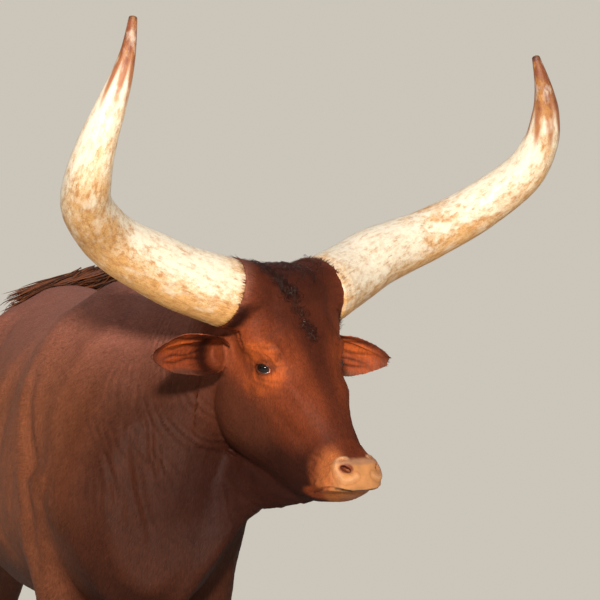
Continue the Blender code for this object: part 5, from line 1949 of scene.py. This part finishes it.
    def lay_out(self, mesh: bpy.types.Mesh, roots: np.ndarray, steps: int, triangles: np.ndarray) -> None:
        """Give each tuft its small patch on the map, at its root's place on the skin's unwrap.

        Args:
            mesh: The tufts.
            roots: Where they grow.
            steps: How many lengths each is bent in.
            triangles: Their rows of three point numbers.
        """
        layer = mesh.uv_layers.new(name="OFBake")
        across = np.append(np.tile((0.0, 1.0, 0.5), steps), 0.5)
        up = np.append(np.repeat(np.arange(steps) / steps, 3), 1.0)
        spread = (np.column_stack((across, up)) - 0.5) * self.patch
        flat = self.on_map(roots)[:, None, :] + spread[None]
        layer.data.foreach_set("uv", flat.reshape(-1, 2)[triangles.ravel()].ravel())

    def field(self, name: str, count: int, density: np.ndarray, length: float, width: float,
              lift: float) -> bpy.types.Object:
        """Tufts over a part of the skin.

        Args:
            name: The piece's name.
            count: How many tufts.
            density: How thick they stand on each triangle.
            length: Their usual length.
            width: Their usual width.
            lift: How steeply they leave the skin.

        Returns:
            The piece.
        """
        draws = np.random.default_rng(self.seed + len(name) + count)
        roots, normals = self.scattered(count, density, draws)
        ways = LIE.directions(roots, normals)
        side = np.cross(normals, ways)
        ways = unit(ways + side * draws.normal(0.0, 0.10, count)[:, None])
        sizes = draws.uniform(0.75, 1.25, count)
        small = self.small(roots)
        lengths, widths = length * sizes * small, width * sizes * (0.4 + 0.6 * small)
        lifts = np.abs(draws.normal(lift, lift * 0.35, count))
        return self.grow(name, roots, normals, ways, lengths, widths, lifts, draws)

    def small(self, roots: np.ndarray) -> np.ndarray:
        """How much smaller tufts are near the eyes, muzzle and feet.

        Args:
            roots: Where they grow.

        Returns:
            A share of the usual size for each.
        """
        place = HEAD.local(roots)
        place[:, 0] = np.abs(place[:, 0])
        near = blob(place, (0.104, 0.074, -0.150), (0.030, 0.032, 0.030), 0.8)
        near = np.maximum(near, blob(place, (0.0, 0.23, -0.38), (0.09, 0.05, 0.06), 0.5))
        near = np.maximum(near, ease((0.16 - roots[:, 2]) / 0.10) * 0.5)
        return 1.0 - 0.50 * near

    def build(self) -> None:
        """Grow the whole coat, piece by piece."""
        self.prepare()
        place = HEAD.local(self.middles)
        low = self.middles[:, 2] < 0.70
        left = self.middles[:, 1] > MIDDLE
        covered = 1.0 - np.clip(MARKINGS.bare(self.middles) * 2.0, 0.0, 1.0)
        level = (place[:, 2] > -0.24) & (place[:, 2] < 0.02)
        on_ear = (np.abs(place[:, 0]) > 0.125) & EAR.beside(place) & level
        on_face = (blob(place, HEAD_MIDDLE, (0.15, 0.20, 0.27), 0.15) > 0.5) & ~on_ear
        along = unit(np.array(COLLAR_FACING))
        fore = self.middles @ along > np.array(self.collar) @ along
        behind_head = ~on_face & ~on_ear & ~low
        neck, trunk = behind_head & fore, behind_head & ~fore
        fewer = 1.0
        plan = (("Coat_face", 46000, on_face, 0.0070, 0.0011, 0.09),
                ("Coat_ears", 11000, on_ear, 0.0070, 0.0010, 0.12),
                ("Coat_neck", 46000, neck, 0.0110, 0.0016, 0.06),
                ("Coat_trunk_left", 48000, trunk & left, 0.0140, 0.0022, 0.05),
                ("Coat_trunk_right", 48000, trunk & ~left, 0.0140, 0.0022, 0.05),
                ("Coat_legs_left", 30000, low & left, 0.0110, 0.0018, 0.07),
                ("Coat_legs_right", 30000, low & ~left, 0.0110, 0.0018, 0.07))
        for name, count, region, length, width, lift in plan:
            self.field(name, int(count * fewer), region * covered, length, width, lift)
        self.poll()
        self.horn_fringes()

    def poll(self) -> None:
        """Glossy short curls over the poll and down the forehead."""
        draws = np.random.default_rng(self.seed + 100)
        place = HEAD.local(self.middles)
        line, _ = distance_to_line(place, curve_through(MARKINGS.wet_line, 30))
        sparse = blob(place, (0.0, 0.00, 0.04), (0.085, 0.075, 0.040), 0.5)
        density = ease((0.016 - line) / 0.016) + 0.06 * sparse
        count = 760
        roots, normals = self.scattered(count, density, draws)
        ways = LIE.directions(roots, normals)
        side = np.cross(normals, ways)
        ways = unit(ways + side * draws.normal(0.0, 0.55, count)[:, None])
        self.grow("Poll_curls", roots, normals, ways, draws.uniform(0.014, 0.026, count),
                  draws.uniform(0.0011, 0.0022, count), draws.uniform(0.04, 0.26, count), draws,
                  Hair.CURLED, 0.55)

    def horn_fringes(self) -> None:
        """Jagged short hair lying out over the base of each horn."""
        draws = np.random.default_rng(self.seed + 200)
        count = 1500
        for side in Side:
            path = Horn(side).line(60)
            out = unit(path[1] - path[0])
            base = path[0] - out * Horn(side).inward()
            place = (self.middles - base) @ out
            radial = np.linalg.norm(self.middles - base - place[:, None] * out, axis=1)
            beside = (radial < 0.090) & (np.abs(place) < 0.03) & ((radial > 0.069) | (place < 0.0))
            if not beside.any():
                continue
            roots, _ = self.scattered(count, beside.astype(float), draws)
            ways = unit(out + draws.normal(0.0, 0.16, (count, 3)))
            away = unit(roots - base - ((roots - base) @ out)[:, None] * out)
            name = f"Horn_fringe_{side.name.lower()}"
            self.grow(name, roots, away, ways, draws.uniform(0.008, 0.019, count),
                      draws.uniform(0.0012, 0.0022, count), draws.uniform(0.02, 0.16, count), draws)


@dataclass(frozen=True)
class TailSwitch:
    """Long wavy hair at the tail's end, thrown across the rump."""

    strands: int = 620
    path: tuple = ((-0.9987, -0.1247, 1.364), (-0.9537, -0.1897, 1.366), (-0.9087, -0.2597, 1.356),
                   (-0.8737, -0.3397, 1.338), (-0.8537, -0.4197, 1.312))
    seed: int = 31
    past_end: float = 1.08
    spine_points: int = 60
    colour: tuple = (104, 58, 34)

    def on_spine(self, spine: np.ndarray, spot: float) -> np.ndarray:
        """A point of the tail hair's middle line, which sinks where it runs on past its end.

        Args:
            spine: Points of the line.
            spot: Share of its length, past 1 beyond its end.

        Returns:
            The point.
        """
        last = self.spine_points - 1
        index = min(spot, 1.0) * last
        low = int(index)
        at = spine[low] + (spine[min(low + 1, last)] - spine[low]) * (index % 1.0)
        if spot > 1.0:
            at = at + (spine[last] - spine[last - 9]) * (spot - 1.0) * 4.0
            at = at + np.array((0.0, 0.0, -0.10)) * (spot - 1.0)
        return at

    def strand(self, number: int, spine: np.ndarray, tree: BVHTree, draws: np.random.Generator) -> np.ndarray:
        """One wavy hair, kept clear of the skin.

        Args:
            number: Which strand it is.
            spine: The middle line of the switch.
            tree: The skin's faces, to measure from.
            draws: The random numbers.

        Returns:
            Rows of points.
        """
        start = draws.uniform(0.0, 0.55)
        reach = draws.uniform(0.35, 0.62)
        places = np.linspace(start, min(start + reach, self.past_end), 9)
        fan = draws.normal(0.0, 1.0)
        height = abs(draws.normal(0.0, 1.0))
        wave, turn = draws.uniform(0.003, 0.010), draws.uniform(0.0, 6.3)
        fall = draws.uniform(0.0, 1.0) ** 1.5 * 0.062
        side, up = np.array((-0.80, -0.55, 0.0)), np.array((0.0, 0.0, 1.0))
        clear = 0.002 + 0.003 * (number % 5) / 4.0
        rows = []
        for step, spot in enumerate(places):
            share = step / 8.0
            at = self.on_spine(spine, spot)
            at = at + side * (fan * (0.006 + 0.022 * share) + wave * math.sin(turn + share * 7.0))
            at = at + up * (height * 0.006 * (1.0 - share) + 0.002 - fall * ease(share / 0.5))
            near, normal, _, _ = tree.find_nearest(Vector(at))
            if (Vector(at) - near).dot(normal) < clear:
                at = np.array(near + normal * clear)
            rows.append(at)
        return curve_through(rows, 17)

    def build(self, skin: bpy.types.Object) -> bpy.types.Object:
        """Build and dress the switch.

        Args:
            skin: The skin that it lies on.

        Returns:
            The switch's object.
        """
        draws = np.random.default_rng(self.seed)
        tree = BVHTree.FromPolygons([tuple(point) for point in points_of(skin.data)],
                                    [tuple(face.vertices) for face in skin.data.polygons])
        spine = curve_through(self.path, self.spine_points)
        shares = np.linspace(0.0, 1.0, 17)
        taper = (0.6 + 0.4 * np.sin(shares * 2.6)) * (1.0 - shares ** 4)
        points, triangles, colours, base = [], [], [], 0
        for number in range(self.strands):
            rows = self.strand(number, spine, tree, draws)
            some, faces, _ = tube(rows, draws.uniform(0.0011, 0.0024) * taper + 0.00015, 4)
            points.append(some)
            triangles.append(faces + base)
            base += len(some)
            colours.append(np.tile(tone(*self.colour) * draws.uniform(0.30, 1.6), (len(some), 1)))
        mesh = triangle_mesh("Switch", np.vstack(points), np.vstack(triangles))
        paint(mesh, "Markings", np.vstack(colours))
        mesh.materials.append(TuftFinish("Switch hair", 0.45, 0.25).material())
        item = placed("Tail_switch", mesh)
        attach(item, "root")
        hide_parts("tail_switch")
        return item


@dataclass(frozen=True)
class Studio:
    """Pale floor, soft lights and the camera at the photograph's angle."""

    azimuth: float = 80.0
    elevation: float = 2.3
    distance: float = 9.0
    lens: float = 259.0
    target: tuple = (0.7050, 0.0046, 1.361)
    floor_half: float = 5.4
    floor_drop: float = 0.0006
    bands: tuple = ((0.14, (0.60, 0.56, 0.49)), (0.42, (0.10, 0.10, 0.10)))
    lamps: tuple = (("Key", 80.0, 16.5, 8.0, 0.6, 940.0, (1.0, 0.93, 0.83), (0.6, -0.15, 1.33)),
                    ("Fill", 20.0, 34.0, 7.0, 4.0, 30.0, (1.0, 0.97, 0.93), (0.2, 0.0, 1.1)),
                    ("Back", 250.0, 50.0, 7.0, 5.0, 65.0, (0.94, 0.96, 1.0), (0.2, 0.0, 1.1)),
                    ("Top", 110.0, 76.0, 6.0, 6.0, 60.0, (0.90, 0.94, 1.0), (-0.2, 0.0, 0.6)))

    def back(self, azimuth: float, elevation: float) -> Vector:
        """Direction from the model to a place round it, by its angles in degrees."""
        turn, rise = math.radians(azimuth), math.radians(elevation)
        return Vector((math.sin(turn) * math.cos(rise), -math.cos(turn) * math.cos(rise), math.sin(rise)))

    def lamp(self, name: str, azimuth: float, elevation: float, distance: float, size: float, power: float,
             colour: tuple, aim: tuple) -> None:
        """A soft square light aimed at the model.

        Args:
            name: Its name.
            azimuth: Its angle round the model.
            elevation: Its angle above the floor.
            distance: How far off it stands.
            size: Length of its sides.
            power: Its power.
            colour: Its colour.
            aim: The place that it faces.
        """
        light = bpy.data.lights.new(name, "AREA")
        light.size, light.energy, light.color = size, power, colour
        item = bpy.data.objects.new(name, light)
        back = self.back(azimuth, elevation)
        item.location = Vector(aim) + back * distance
        item.rotation_euler = back.to_track_quat("Z", "Y").to_euler()
        bpy.context.scene.collection.objects.link(item)

    def backdrop(self) -> bpy.types.World:
        """A plain surround, pale round the horizon and dim overhead.

        Returns:
            The world.
        """
        world = bpy.data.worlds.new("Studio")
        world.use_nodes = True
        nodes, links = world.node_tree.nodes, world.node_tree.links
        parts, rise = nodes.new("ShaderNodeSeparateXYZ"), nodes.new("ShaderNodeMath")
        band = nodes.new("ShaderNodeValToRGB")
        rise.operation = "ABSOLUTE"
        for element, (place, colour) in zip(band.color_ramp.elements, self.bands):
            element.position, element.color = place, (*colour, 1.0)
        links.new(nodes.new("ShaderNodeTexCoord").outputs["Generated"], parts.inputs[0])
        links.new(parts.outputs[2], rise.inputs[0])
        links.new(rise.outputs[0], band.inputs["Fac"])
        links.new(band.outputs["Color"], nodes["Background"].inputs["Color"])
        return world

    def build(self) -> None:
        """Set the floor, lights, world and camera."""
        shape = bmesh.new()
        bmesh.ops.create_grid(shape, x_segments=1, y_segments=1, size=self.floor_half)
        mesh = bpy.data.meshes.new("Floor")
        shape.to_mesh(mesh)
        shape.free()
        mesh.materials.append(FloorFinish().material())
        floor = placed("Floor", mesh)
        floor.location.z = -self.floor_drop
        for lamp in self.lamps:
            self.lamp(*lamp)
        bpy.context.scene.world = self.backdrop()
        bpy.context.scene.view_settings.view_transform = "Standard"
        camera = bpy.data.cameras.new("Camera")
        camera.lens, camera.sensor_width = self.lens, 36.0
        item = bpy.data.objects.new("Camera", camera)
        back = self.back(self.azimuth, self.elevation)
        item.location = Vector(self.target) + back * self.distance
        item.rotation_euler = back.to_track_quat("Z", "Y").to_euler()
        bpy.context.scene.collection.objects.link(item)
        bpy.context.scene.camera = item


def main() -> None:
    """Build the model in order, and report each piece."""
    logging.basicConfig(level=logging.INFO, format="%(message)s")
    Studio().build()
    skin = Skin()
    item = skin.build()
    log.info("Skin: %d faces", len(item.data.polygons))
    for side in Side:
        eye = Eye(side)
        eye.ball()
        eye.rims()
        eye.lashes()
        Horn(side).build()
        log.info("Eye and horn: %s", side.name.lower())
    log.info("Hooves and dewclaws: %d", Feet().build())
    Coat(item).build()
    TailSwitch().build(item)
    log.info("Tail switch")


if __name__ == "__main__":
    main()
